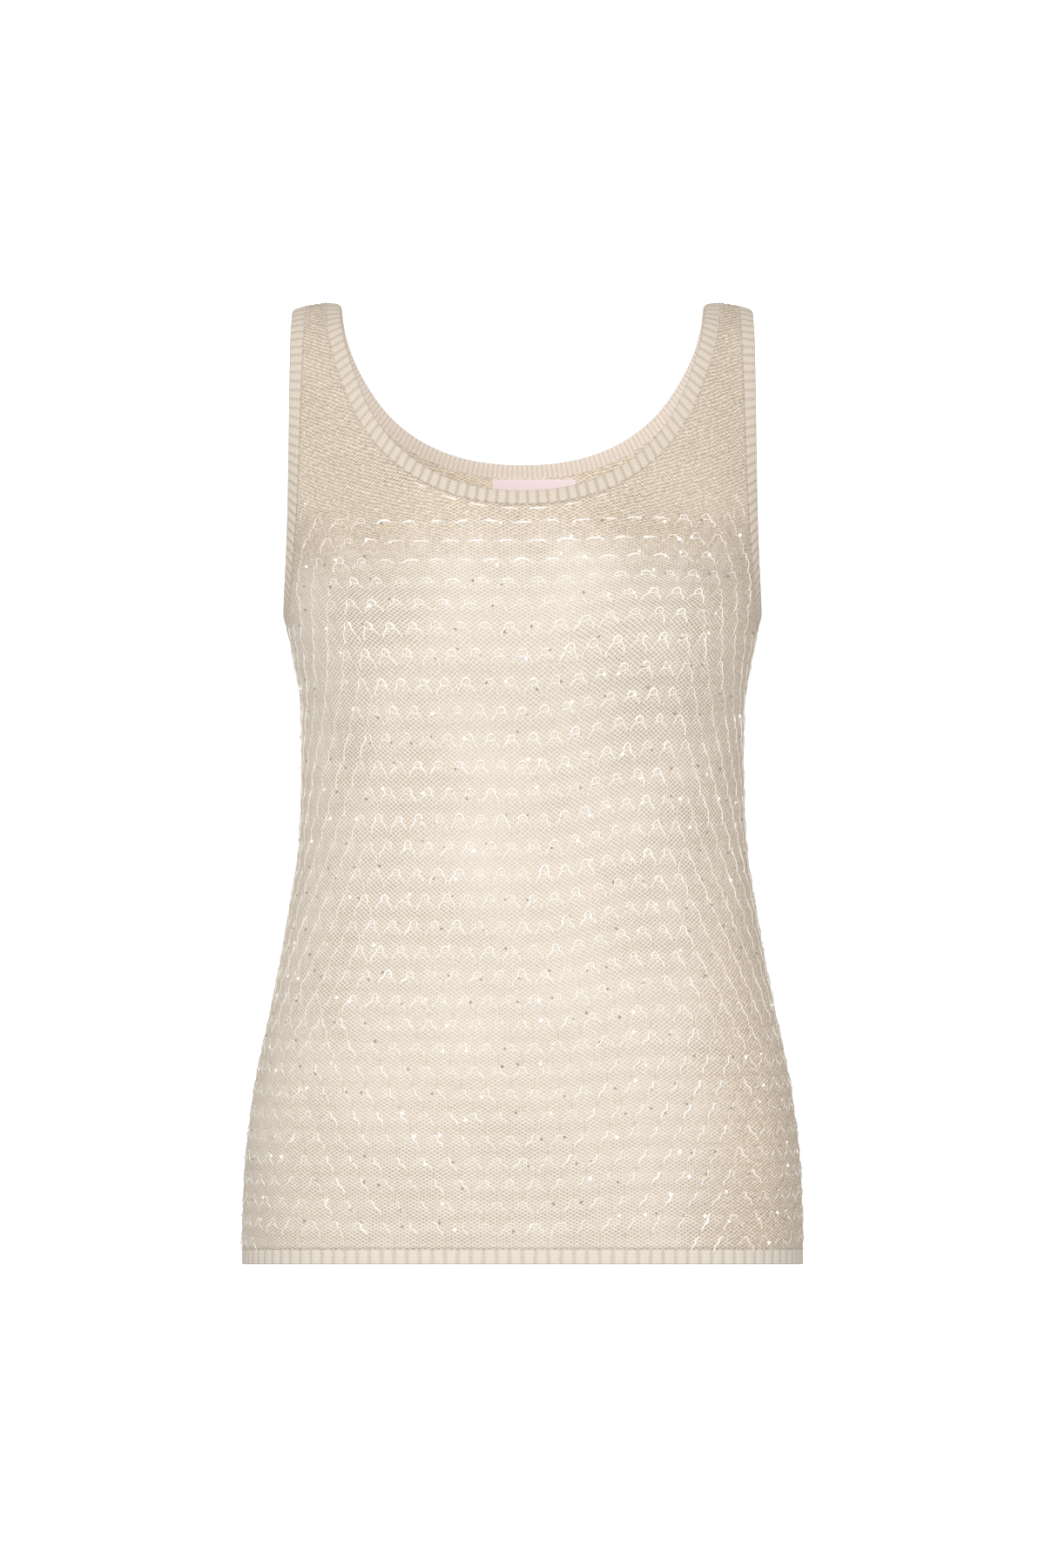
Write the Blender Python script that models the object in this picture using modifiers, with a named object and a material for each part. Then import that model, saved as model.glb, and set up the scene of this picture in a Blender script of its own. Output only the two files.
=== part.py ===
"""Sleeveless knitted tank top, filled out as it is worn, with nothing inside it.

Seven sewn pieces: a front panel, a back panel, a ribbed neckband, a ribbed armband round each
armhole, a ribbed hem band and a small bare label inside the back neck.

All pieces lie on one curved form. A point of the form has two coordinates:
  turn   0 at the centre line, +1 and -1 at the side seams (+1 is towards +X)
  run    distance in mm down the strap and the panel, from the shoulder ridge
and the form has a front and a back sheet that meet at the ridge and at the side seams.
Lengths are in millimetres until a mesh is made; the object is in metres, +Z up, front towards -Y.
The origin is where the shoulders carry the straps: mid-way between them, at their underside.
"""
import bpy
import numpy as np

# ---------------------------------------------------------------- driving dimensions (mm)
TO_METRES = 0.001
GARMENT_LENGTH = 603.1          # shoulder ridge to hem edge at the sides
PANEL_WALL = 1.6                # knitted panel
BAND_WALL = 2.2                 # doubled rib of the bands
LABEL_WALL = 1.0
SEAM_GAP = 0.3                  # between pieces that are sewn together
RIDGE_GAP = 0.55                # each panel stops this far short of the ridge, where its edge leans in

RIDGE_HEIGHT = PANEL_WALL / 2   # mid-wall of a strap above the origin
STRAP_MIDDLE = 130.0            # distance of a strap's middle from the centre line
SHOULDER_SLOPE = 0.11           # fall of the ridge per mm outwards
SLOPE_REACH = 90.0              # the slope fades out over this much drop
CAP_DROP = 90.0                 # the straps round over the shoulder within this drop
CAP_ROUNDNESS = 2.2
SECTION_ROUNDNESS = 2.5         # exponent of the superellipse of a horizontal section
SHOULDER_SET_BACK = 8.0         # the ridge lies this far behind the side seams
SET_BACK_REACH = 200.0

NECK_HALF_WIDTH = 110.5
NECK_FLARE = 4.0                # the opening widens by this much at the ridge
NECK_FLARE_REACH = 54.0
NECK_ROUNDNESS = 2.2
FRONT_NECK_DROP = 119.0
BACK_NECK_DROP = 93.5
ARMHOLE_DROP = 194.0
ARMHOLE_HALF_WIDTH = 145.7      # from the centre line to the armhole edge at the ridge
ARMHOLE_FLARE = 6               # how late the edge bends out to the side seam, as a power of the drop
NECKBAND_WIDTH = 10.0
ARMBAND_WIDTH = 9.5
HEM_BAND_HEIGHT = 10.0
HEM_RISE = 0.0756               # the hem's plane rises towards the front, per mm

LABEL_WIDTH = 55.0
LABEL_HEIGHT = 16.0
LABEL_OFF_CENTRE = 8.0
LABEL_TOP_GAP = 1.0             # below the neckband's seam

# Horizontal sections of the form, from the shoulder ridge (drop 0) to below the hem.
# drop, half width at the side seam, depth of the front sheet, depth of the back sheet
SECTIONS = np.array([
    (0.0, 178.0, 72.0, 70.0),
    (60.0, 172.0, 80.0, 84.0),
    (120.0, 167.0, 100.0, 100.0),
    (150.0, 163.0, 111.0, 105.0),
    (175.0, 157.0, 116.5, 106.0),
    (194.0, 150.0, 118.0, 105.0),
    (219.0, 143.9, 115.0, 100.5),
    (247.0, 139.3, 107.0, 95.0),
    (280.0, 138.0, 99.0, 90.0),
    (329.0, 139.3, 95.5, 88.0),
    (384.0, 146.9, 97.5, 92.0),
    (439.0, 157.2, 102.0, 98.5),
    (494.0, 168.6, 106.5, 104.0),
    (549.0, 174.6, 110.0, 108.0),
    (604.0, 176.0, 112.0, 110.0),
    (630.0, 176.0, 112.0, 110.0),
])

# ---------------------------------------------------------------- grid counts
SHOULDER_COLUMNS = 2
NECK_COLUMNS = 20
SIDE_ROWS = 15
ARMHOLE_ROWS = 16
SIDE_PULL = 3                   # how fast a row forgets the armhole's curve away from it: an odd power
FINE = 400                      # samples of a curve before it is spaced out evenly


def slopes(x, y):
    """Slopes of a smooth curve through (x, y) that never overshoots: the harmonic mean of the steps on
    each side, or 0 where the curve turns."""
    step = np.diff(y) / np.diff(x)
    product, total = step[:-1] * step[1:], step[:-1] + step[1:]
    inner = np.where(product > 0, 2 * product / np.where(total == 0, 1, total), 0)
    return np.concatenate(([step[0]], inner, [step[-1]]))


def smooth(x, table_x, table_y):
    """Cubic Hermite interpolation of one column of a table."""
    m = slopes(table_x, table_y)
    i = np.clip(np.searchsorted(table_x, x) - 1, 0, len(table_x) - 2)
    width = table_x[i + 1] - table_x[i]
    t = np.clip((x - table_x[i]) / width, 0, 1)
    return ((2 * t**3 - 3 * t**2 + 1) * table_y[i] + (t**3 - 2 * t**2 + t) * width * m[i]
            + (3 * t**2 - 2 * t**3) * table_y[i + 1] + (t**3 - t**2) * width * m[i + 1])


def fade(x):
    """1 at x = 0 and below, 0 at x = 1 and above, smooth between."""
    t = np.clip(x, 0, 1)
    return 1 - t * t * (3 - 2 * t)


def unit_arc(angle, roundness):
    """Point of the unit superellipse in the direction of an angle: (sine side, cosine side)."""
    s, c = np.abs(np.sin(angle)), np.abs(np.cos(angle))
    r = (s**roundness + c**roundness) ** (-1 / roundness)
    return r * s, r * c


def half_width(drop):
    return smooth(drop, SECTIONS[:, 0], SECTIONS[:, 1])


def sheet_depth(drop, sheet):
    """Depth of the front (-1) or back (+1) sheet before it rounds over the shoulder."""
    return smooth(drop, SECTIONS[:, 0], SECTIONS[:, 2 if sheet < 0 else 3])


def run_table():
    """Drop and rounding of the form against the distance run from the ridge, at a strap."""
    angle = np.linspace(np.pi / 2, 0, FINE)
    rise, cap = unit_arc(angle, CAP_ROUNDNESS)
    drop = np.concatenate((CAP_DROP * (1 - rise), np.linspace(CAP_DROP, SECTIONS[-1, 0], FINE)[1:]))
    cap = np.concatenate((cap, np.ones(FINE - 1)))
    across = STRAP_MIDDLE / half_width(drop)
    depth = sheet_depth(drop, -1) * cap * (1 - across**SECTION_ROUNDNESS) ** (1 / SECTION_ROUNDNESS)
    run = np.concatenate(([0], np.cumsum(np.hypot(np.diff(depth), np.diff(drop)))))
    return run, drop, cap


RUN, RUN_DROP, RUN_CAP = run_table()
TURN = np.linspace(0, 1, FINE)
TURN_ACROSS = unit_arc(TURN * np.pi / 2, SECTION_ROUNDNESS)[0]


def form(turn, run, sheet):
    """Points of the form. A horizontal section is half a superellipse, scaled to the table's width
    and depth; near the ridge the depth also follows a superellipse, so the strap rounds over."""
    drop, cap = np.interp(run, RUN, RUN_DROP), np.interp(run, RUN, RUN_CAP)
    across, along = unit_arc(turn * np.pi / 2, SECTION_ROUNDNESS)
    x = np.sign(turn) * across * half_width(drop)
    y = sheet * along * sheet_depth(drop, sheet) * cap + SHOULDER_SET_BACK * fade(drop / SET_BACK_REACH)
    z = RIDGE_HEIGHT - drop - SHOULDER_SLOPE * (np.abs(x) - STRAP_MIDDLE) * fade(drop / SLOPE_REACH)
    return np.stack((x, y, z), axis=-1)


def place(x, drop):
    """(turn, run) of the point at distance x from the centre line and at a drop."""
    turn = np.sign(x) * np.interp(np.abs(x) / half_width(drop), TURN_ACROSS, TURN)
    return turn, np.interp(drop, RUN_DROP, RUN)


def partials(turn, run, sheet):
    """Change of the form's point per unit of turn and of run."""
    e_turn, e_run = 1e-4, 0.05
    t0 = np.clip(turn - e_turn, -1, 1 - 2 * e_turn)
    t1 = t0 + 2 * e_turn
    r0 = np.maximum(run - e_run, 0)
    r1 = r0 + 2 * e_run
    by_turn = (form(t1, run, sheet) - form(t0, run, sheet)) / (t1 - t0)[..., None]
    by_run = (form(turn, r1, sheet) - form(turn, r0, sheet)) / (r1 - r0)[..., None]
    return by_turn, by_run


def shifted(turn, run, sheet, distance, steps=4):
    """A curve on the form, moved sideways on it by a distance, to the right of its direction."""
    for _ in range(steps):
        by_turn, by_run = partials(turn, run, sheet)
        d_turn, d_run = np.gradient(turn), np.gradient(run)
        tangent = by_turn * d_turn[:, None] + by_run * d_run[:, None]
        e, f, g = (by_turn**2).sum(-1), (by_turn * by_run).sum(-1), (by_run**2).sum(-1)
        t_turn, t_run = (by_turn * tangent).sum(-1), (by_run * tangent).sum(-1)
        side_turn, side_run = t_run, -t_turn
        length = np.sqrt(e * side_turn**2 + 2 * f * side_turn * side_run + g * side_run**2)
        turn = np.clip(turn + side_turn / length * distance / steps, -1, 1)
        run = np.maximum(run + side_run / length * distance / steps, 0)
    return turn, run


def evenly(turn, run, sheet, count):
    """The same curve with count + 1 points, evenly spaced along its length."""
    points = form(turn, run, sheet)
    length = np.concatenate(([0], np.cumsum(np.linalg.norm(np.diff(points, axis=0), axis=1))))
    want = np.linspace(0, length[-1], count + 1)
    return np.interp(want, length, turn), np.interp(want, length, run)


def neck_opening(sheet):
    """Edge of the neck opening from the -X ridge to the +X ridge: a superellipse seen from the front."""
    drop_to = FRONT_NECK_DROP if sheet < 0 else BACK_NECK_DROP
    angle = np.linspace(-np.pi / 2, np.pi / 2, 2 * FINE)
    across, down = unit_arc(angle, NECK_ROUNDNESS)
    drop = drop_to * down
    x = np.sign(angle) * (NECK_HALF_WIDTH * across + NECK_FLARE * fade(drop / NECK_FLARE_REACH))
    return place(x, np.maximum(drop, 0))


def armhole_opening(sheet):
    """Edge of the +X armhole from the side seam up to the ridge, all but straight seen from the front."""
    drop = ARMHOLE_DROP * np.sin(np.linspace(np.pi / 2, 0, FINE))
    widest = half_width(np.array(ARMHOLE_DROP))
    x = ARMHOLE_HALF_WIDTH + (widest - ARMHOLE_HALF_WIDTH) * (drop / ARMHOLE_DROP) ** ARMHOLE_FLARE
    turn, run = place(x, drop)
    turn[0] = 1.0
    return turn, run


def neck_line(sheet, distance):
    """The neck opening moved outwards, down the panel, and spaced for the grid."""
    turn, run = shifted(*neck_opening(sheet), sheet, -distance)
    turn, run = evenly(turn, run, sheet, NECK_COLUMNS)
    run[[0, -1]] = 0
    return turn, run


def armhole_line(sheet, distance):
    """The armhole opening moved into the panel, from the side seam to the ridge."""
    turn, run = shifted(*armhole_opening(sheet), sheet, distance)
    turn[0] = 1.0
    turn, run = evenly(np.minimum(turn, 1), run, sheet, ARMHOLE_ROWS)
    run[-1] = 0
    return turn, run


def run_of_drop(drop):
    return np.interp(drop, RUN_DROP, RUN)


def hem_run(turn, sheet, above):
    """Run of a line parallel to the hem, a distance above its edge. The hem's plane rises to the front."""
    y = form(turn, np.full_like(turn, run_of_drop(GARMENT_LENGTH)), sheet)[..., 1]
    return run_of_drop(GARMENT_LENGTH + HEM_RISE * y - above)


def panel_columns():
    """Turn of each column at the hem, packed as along the top: strap, neckline, strap."""
    return np.linspace(-1, 1, 2 * SHOULDER_COLUMNS + NECK_COLUMNS + 1)


def panel_grid(sheet):
    """Turn and run of a panel's grid. Each row keeps one share of the way from the hem line to the top
    line, the share that the side edge has there; its turn is then pulled in to meet that edge."""
    half_gap = SEAM_GAP / 2
    bottom_turn = panel_columns()
    bottom_run = hem_run(bottom_turn, sheet, HEM_BAND_HEIGHT + half_gap)
    neck_turn, neck_run = neck_line(sheet, NECKBAND_WIDTH + half_gap)
    arm_turn, arm_run = armhole_line(sheet, ARMBAND_WIDTH + half_gap)
    strap = np.linspace(-arm_turn[-1], neck_turn[0], SHOULDER_COLUMNS + 1)
    top_turn = np.concatenate((strap[:-1], neck_turn, -strap[::-1][1:]))
    top_run = np.concatenate((np.zeros(SHOULDER_COLUMNS), neck_run, np.zeros(SHOULDER_COLUMNS)))
    side_turn = np.concatenate((np.ones(SIDE_ROWS), arm_turn))[:, None]
    side_run = np.concatenate((np.linspace(bottom_run[-1], arm_run[0], SIDE_ROWS + 1)[:-1], arm_run))

    share = ((side_run[0] - side_run) / side_run[0])[:, None]
    pull = np.linspace(-1, 1, len(top_turn)) ** SIDE_PULL
    straight = (1 - share) + share * top_turn[-1]
    turn = (1 - share) * bottom_turn + share * top_turn + pull * (side_turn - straight)
    run = (1 - share) * bottom_run + share * top_run
    return np.clip(turn, -1, 1), np.maximum(run, RIDGE_GAP)


def panel_points(sheet):
    """The panel's points, drawn in by half a seam gap where it meets the other panel at the side."""
    turn, run = panel_grid(sheet)
    points = form(turn, run, sheet)
    at_seam = np.abs(turn) > 1 - 1e-9
    points[..., 1] += sheet * at_seam * SEAM_GAP / 2
    return points


def closed_band(front, back):
    """Rows of a ring from its front rows and its back rows, which share their end points."""
    return np.concatenate((front, back[:, ::-1][:, 1:-1]), axis=1)


def neckband_points():
    rows = {}
    for sheet in (-1, 1):
        lines = [neck_line(sheet, d) for d in (0.0, NECKBAND_WIDTH - SEAM_GAP / 2)]
        rows[sheet] = np.stack([form(turn, run, sheet) for turn, run in lines])
    return closed_band(rows[-1], rows[1])


def armband_points(side):
    """A ring round the armhole: up the front edge to the ridge and down the back edge."""
    rows = {}
    for sheet in (-1, 1):
        lines = [armhole_line(sheet, d) for d in (0.0, ARMBAND_WIDTH - SEAM_GAP / 2)]
        rows[sheet] = np.stack([form(turn, run, sheet) for turn, run in lines])
    ring = closed_band(rows[-1], rows[1])
    ring[..., 0] *= side
    return ring


def hem_points():
    rows = {}
    for sheet in (-1, 1):
        turn = panel_columns()
        lines = [hem_run(turn, sheet, above) for above in (0.0, HEM_BAND_HEIGHT - SEAM_GAP / 2)]
        rows[sheet] = np.stack([form(turn, run, sheet) for run in lines])
    return closed_band(rows[-1], rows[1])


def label_points():
    """The back panel's own points below the neckband, moved inwards to lie just clear of it."""
    x = LABEL_OFF_CENTRE + np.linspace(-LABEL_WIDTH / 2, LABEL_WIDTH / 2, 7)
    top = BACK_NECK_DROP + NECKBAND_WIDTH + LABEL_TOP_GAP
    rows = []
    for drop in (top, top + LABEL_HEIGHT / 2, top + LABEL_HEIGHT):
        turn, run = place(x, np.full_like(x, drop))
        by_turn, by_run = partials(turn, run, 1)
        inward = np.cross(by_turn, by_run)
        inward *= -np.sign(inward[:, 1:2]) / np.linalg.norm(inward, axis=1, keepdims=True)
        rows.append(form(turn, run, 1) + inward * ((PANEL_WALL + LABEL_WALL) / 2 + 2 * SEAM_GAP))
    return np.stack(rows)


# ---------------------------------------------------------------- Blender objects
def cloth_material(name, colour, roughness):
    material = bpy.data.materials.new(name)
    material.use_nodes = True
    shader = material.node_tree.nodes["Principled BSDF"]
    shader.inputs["Base Color"].default_value = (*colour, 1)
    shader.inputs["Roughness"].default_value = roughness
    shader.inputs["Metallic"].default_value = 0.0
    return material


def cloth_object(name, points, wall, material, ring, inside):
    """A grid of points as an open surface, with Solidify for the cloth's thickness."""
    rows, columns = points.shape[:2]
    index = np.arange(rows * columns).reshape(rows, columns)
    if ring:
        index = np.concatenate((index, index[:, :1]), axis=1)
    quads = np.stack((index[:-1, :-1], index[:-1, 1:], index[1:, 1:], index[1:, :-1]), axis=-1).reshape(-1, 4)
    mesh = bpy.data.meshes.new(name)
    flat = points.reshape(-1, 3)
    a, b, c = (flat[quads[:, k]] for k in (0, 1, 3))
    outward = (np.cross(b - a, c - a) * (a - np.array(inside))).sum()
    if outward < 0:
        quads = quads[:, ::-1]
    mesh.from_pydata((flat * TO_METRES).tolist(), [], quads.tolist())
    mesh.materials.append(material)
    mesh.shade_smooth()
    obj = bpy.data.objects.new(name, mesh)
    solidify = obj.modifiers.new("cloth thickness", "SOLIDIFY")
    solidify.thickness = wall * TO_METRES
    solidify.offset = 0.0
    solidify.use_even_offset = True
    return obj


def build():
    for old in list(bpy.data.objects):
        bpy.data.objects.remove(old)
    top = bpy.data.collections.new("tank_top")
    bpy.context.scene.collection.children.link(top)

    knit = cloth_material("beige_knit", (0.74, 0.66, 0.54), 0.8)
    rib = cloth_material("beige_rib", (0.70, 0.61, 0.49), 0.85)
    satin = cloth_material("pale_satin", (0.80, 0.70, 0.66), 0.5)

    chest = (0.0, 0.0, -GARMENT_LENGTH / 2)
    pieces = [
        cloth_object("front_panel", panel_points(-1), PANEL_WALL, knit, False, chest),
        cloth_object("back_panel", panel_points(1), PANEL_WALL, knit, False, chest),
        cloth_object("neckband", neckband_points(), BAND_WALL, rib, True, chest),
        cloth_object("armband_right", armband_points(1), BAND_WALL, rib, True, chest),
        cloth_object("armband_left", armband_points(-1), BAND_WALL, rib, True, chest),
        cloth_object("hem_band", hem_points(), BAND_WALL, rib, True, chest),
        cloth_object("neck_label", label_points(), LABEL_WALL, satin, False, chest),
    ]
    for piece in pieces:
        top.objects.link(piece)


build()
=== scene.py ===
"""The looks of a sleeveless knitted top with a shiny zigzag thread and scattered sequins.

Everything lies on one curved form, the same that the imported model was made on. A point of it has
two coordinates, turn and run:
  turn   0 at the centre line, +1 and -1 at the side seams (+1 is towards +X)
  run    distance down the strap and the panel, from the shoulder ridge
and the form has a front (-1) and a back (+1) sheet that meet at the ridge and at the side seams.

The knitting is counted in cells. A cell is one repeat of the pattern: across, a thirtieth of a
panel's width, and down, one pattern row. Every other row is moved by half a cell. Stitch holes,
swellings, thread and sequins all read these cells, so they stay together where the cloth widens.

Lengths are in millimetres until a mesh is made. The scene is in metres, +Z up, front towards -Y.
"""

import bpy
import numpy as np
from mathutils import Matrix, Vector


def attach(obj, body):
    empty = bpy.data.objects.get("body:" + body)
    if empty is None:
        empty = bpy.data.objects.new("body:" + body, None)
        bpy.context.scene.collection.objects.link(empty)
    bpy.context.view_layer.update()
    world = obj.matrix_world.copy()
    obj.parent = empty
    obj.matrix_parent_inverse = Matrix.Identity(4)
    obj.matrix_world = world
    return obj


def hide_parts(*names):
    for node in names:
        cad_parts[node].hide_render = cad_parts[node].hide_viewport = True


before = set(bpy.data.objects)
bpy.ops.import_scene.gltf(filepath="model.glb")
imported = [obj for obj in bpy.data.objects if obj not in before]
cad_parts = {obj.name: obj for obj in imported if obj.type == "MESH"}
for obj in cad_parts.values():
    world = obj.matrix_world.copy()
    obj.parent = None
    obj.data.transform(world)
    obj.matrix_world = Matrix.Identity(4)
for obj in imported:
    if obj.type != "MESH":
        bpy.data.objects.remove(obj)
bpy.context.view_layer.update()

TO_METRES = 0.001
FRONT, BACK = -1, 1
SHEET_NAMES = {FRONT: "front", BACK: "back"}

# ---------------------------------------------------------------- sizes of the form (mm)
GARMENT_LENGTH = 603.1          # shoulder ridge to hem edge at the sides
PANEL_WALL, BAND_WALL, LABEL_WALL = 1.6, 2.2, 0.7
JOIN_WALL = PANEL_WALL / 2 + 0.04    # half a band's thickness where it joins a panel
SIDE_GAP = 0.04                 # either side of the side seam, which shows closed
RIDGE_GAP = 0.25                # each panel stops this far short of the ridge

RIDGE_HEIGHT = PANEL_WALL / 2
STRAP_MIDDLE = 130.0
SHOULDER_SLOPE, SLOPE_REACH = 0.11, 90.0
CAP_DROP = 90.0                 # the straps round over above it
CAP_ROUNDNESS, SECTION_ROUNDNESS = 2.2, 2.5
SET_BACK, SET_BACK_REACH = 8.0, 200.0

NECK_HALF_WIDTH, NECK_ROUNDNESS = 110.5, 2.2
NECK_FLARE, NECK_FLARE_REACH = 4.0, 54.0
NECK_DROP = {FRONT: 119.0, BACK: 93.5}
ARMHOLE_DROP, ARMHOLE_HALF_WIDTH, ARMHOLE_FLARE = 194.0, 145.7, 6
NECKBAND_WIDTH, ARMBAND_WIDTH, HEM_BAND_HEIGHT = 10.0, 9.5, 10.0
HEM_RISE = 0.0756               # of the hem's plane, towards the front
TUCK = 0.9                      # the panels' edges reach this far into the bands

LABEL_WIDTH, LABEL_HEIGHT, LABEL_OFF_CENTRE = 55.0, 16.0, 8.0
LABEL_TOP_GAP = -1.0            # its top edge lies on the neckband's foot
LABEL_CLEARANCE = 0.6

# The straps' tops stand a little proud of the form, more towards the neck, and their corners are round.
STRAP_LIFT, STRAP_TILT, STRAP_LIFT_REACH = 2.9, 0.08, 30.0
NECK_CORNER, ARM_CORNER, CORNER_REACH = 4.4, 2.2, 42.0

# Horizontal sections of the form, from the shoulder ridge (drop 0) to below the hem.
# drop, half width at the side seam, depth of the front sheet, depth of the back sheet
SECTIONS = np.array([
    (0.0, 178.0, 72.0, 70.0), (60.0, 172.0, 80.0, 84.0), (120.0, 167.0, 100.0, 100.0),
    (150.0, 163.0, 111.0, 105.0), (175.0, 157.0, 116.5, 106.0), (194.0, 150.0, 118.0, 105.0),
    (219.0, 143.9, 115.0, 100.5), (247.0, 139.3, 107.0, 95.0), (280.0, 138.0, 99.0, 90.0),
    (329.0, 139.3, 95.5, 88.0), (384.0, 146.9, 97.5, 92.0), (439.0, 157.2, 102.0, 98.5),
    (494.0, 168.6, 106.5, 104.0), (549.0, 174.6, 110.0, 108.0), (604.0, 176.0, 112.0, 110.0),
    (630.0, 176.0, 112.0, 110.0),
])

# ---------------------------------------------------------------- sizes of the knitting
CELLS_TO_SIDE = 15              # pattern repeats from the centre line to a side seam
HOLES_PER_CELL, HOLES_PER_ROW = 4, 6
FIRST_ROW, LAST_ROW = -3, 31

# drop on the centre line, pattern row that lies there
ROWS = np.array([
    (-60.0, -14.6), (0.0, -10.2), (138.6, 0.0), (163.0, 2.0), (203.4, 5.0), (238.2, 7.0), (322.3, 12.0),
    (387.6, 16.0), (433.2, 19.0), (490.5, 23.0), (532.3, 26.0), (572.4, 29.0), (604.0, 31.4), (650.0, 34.8),
])

# The rows climb on one side of the middle, as a knitted panel pulled a little askew does.
# drop, how much higher the rows lie there
CLIMB = np.array([
    (0.0, 0.0), (150.0, 3.0), (205.0, 10.0), (300.0, 12.5), (385.0, 12.5), (450.0, 8.0), (480.0, 5.0),
    (560.0, 4.5), (610.0, 2.0), (650.0, 2.0),
])
CLIMB_FROM, CLIMB_LENGTH = 2.0, 80.0
BACK_CLIMB = 0.6                # of the front's, and on the other side of the middle

# Above the bust the cells are wider in the middle and narrower at the armholes by this share.
MIDDLE_STRETCH, STRETCH_FROM, STRETCH_LENGTH = 0.2, 150.0, 80.0
# On the chest the stitches slant, falling from the neck to the armhole, by this many rows per mm.
SLANT, SLANT_FROM = 0.024, 45.0
SLANT_TOP, SLANT_LENGTH = 125.0, 60.0

# One repeat of the shiny thread, from its left foot over the ring to the middle of its top.
# place along the half repeat, cells across, rows up, height above the cloth (mm)
THREAD_HALF = np.array([
    (0.00, -0.40, -0.42, -0.30), (0.16, -0.385, -0.33, 0.20), (0.34, -0.33, -0.20, 0.45),
    (0.47, -0.25, -0.12, 0.50), (0.57, -0.19, -0.07, 0.50), (0.70, -0.195, 0.06, 0.45),
    (0.84, -0.13, 0.165, 0.45), (1.00, 0.00, 0.20, 0.45),
])
# The thin thread that closes each ring at its foot.
BAR = np.array([(0.00, -0.19, -0.075, 0.30), (0.50, 0.00, -0.045, 0.40), (1.00, 0.19, -0.075, 0.30)])
THREAD_POINTS, BAR_POINTS, DASH_POINTS = 17, 4, 9
THREAD_SIDES = 4
THREAD_RADIUS, BAR_RADIUS = 0.72, 0.45
DOME_HEIGHT, DOME_CLEARANCE = 0.7, 6.0    # the cloth swells between the rings
DOME_TOP_DROP, DOME_TOP_LENGTH = 116.5, 20.0
THREAD_TOP_DROP = 130.5         # above this drop the knitting is plain, except beside the armholes
ARMHOLE_TOP_DROP, ARMHOLE_CELLS = 104.0, 8.0
THREAD_MARGIN = 5.0             # between a repeat's middle and a panel's edge
# The thread's legs are stronger on one side: on the chest and waist those that fall away from the middle,
# and at the hips, but for the sides, those that fall towards it.
LEAN_WIDTH = 60.0
HIP_DROP, HIP_LENGTH = 405.0, 80.0
LEAN_SIDE, LEAN_SIDE_WIDTH = 118.0, 26.0
# Towards the sides, counted in cells, the legs are longer and the thread is thinner.
LONG_FROM, LONG_LENGTH, LONG_LEG = 6.3, 2.4, 1.30
SIDE_THINNING, HIP_THINNING = 0.5, 0.3
# By the side seams at the hips only beads of the thread show, at its tops and by its feet.
BEADS_FROM, BEAD_PLACE, BEAD_LENGTH, BEAD_THREAD = 9.0, 0.55, 0.1, 0.25
THREAD_STRAY, STRAY_SPOTS = 0.026, 5

# Dashes of thread along the neckband's foot: distance from the centre line, half length, thickness.
NECKLINE_DASHES = np.array([
    (-63.0, 4.6, 0.60), (-45.0, 5.6, 0.80), (-27.0, 6.4, 0.85), (-8.0, 5.8, 0.75), (10.0, 6.2, 0.85),
    (31.0, 6.0, 0.70), (49.0, 4.8, 0.60),
])
DASH_BELOW_BAND, DASH_HEIGHT = 2.4, 0.1

SEQUIN_RADIUS, SEQUIN_SIDES, SEQUIN_HEIGHT, SEQUIN_TIP = 1.15, 8, 0.75, 0.28
# A sequin's section: place along its radius and height, both in radii.
SEQUIN_SECTION = np.array([(0.2, 0.07), (1.0, 0.10), (1.0, 0.0), (0.2, -0.03)])
SEQUIN_SHARE = 0.50             # of the thread's repeats carry one
# Part of the sequins are drawn darker and smaller: a painted dark reflection, as of sequins that mirror dark
# surroundings.
DARK_REFLECTION_SHARE, DARK_REFLECTION_SIZE = 0.60, 0.72

# V stitches along the seams, each leg reaching to one side of the seam:
# place along in pitches, place across in reaches, height above the cloth (mm)
STITCH = np.array([(-0.48, -1.0, -0.1), (-0.2, -0.55, 0.25), (0.22, 0.0, 0.1), (-0.2, 0.55, 0.25),
                   (-0.48, 1.0, -0.1)])
STITCH_PITCH, STITCH_REACH, STITCH_RADIUS = 3.1, 1.0, 0.22

# ---------------------------------------------------------------- grid counts
SHOULDER_COLUMNS, NECK_COLUMNS = 10, 112
SIDE_ROWS, ARMHOLE_ROWS = 124, 72
SIDE_PULL, UNDERARM_SHARE = 3, 0.12
FINE = 400
TABLE_STEP = 2.0                # between the levels of the tables of shares
TABLE_DROPS = np.arange(0, 641, TABLE_STEP)
NECK_RIBS = {FRONT: 75, BACK: 66}
ARM_RIBS = {FRONT: 44, BACK: 43}
HEM_RIBS = {FRONT: 60, BACK: 60}
COLUMNS_PER_RIB, BAND_PROFILE_POINTS = 8, 14
LABEL_COLUMNS, LABEL_ROWS = 44, 12

random = np.random.default_rng(20)

# ---------------------------------------------------------------- camera
PHOTO_MM_PER_PIXEL = 0.55       # at the garment's middle
PHOTO_HEIGHT_PIXELS = 1800
CAMERA_DISTANCE, CAMERA_HEIGHT = 4.0, -0.299
SENSOR = 36.0


def add_object(name, data):
    """A new object at the origin of the scene."""
    made = bpy.data.objects.new(name, data)
    bpy.context.scene.collection.objects.link(made)
    return made


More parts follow.
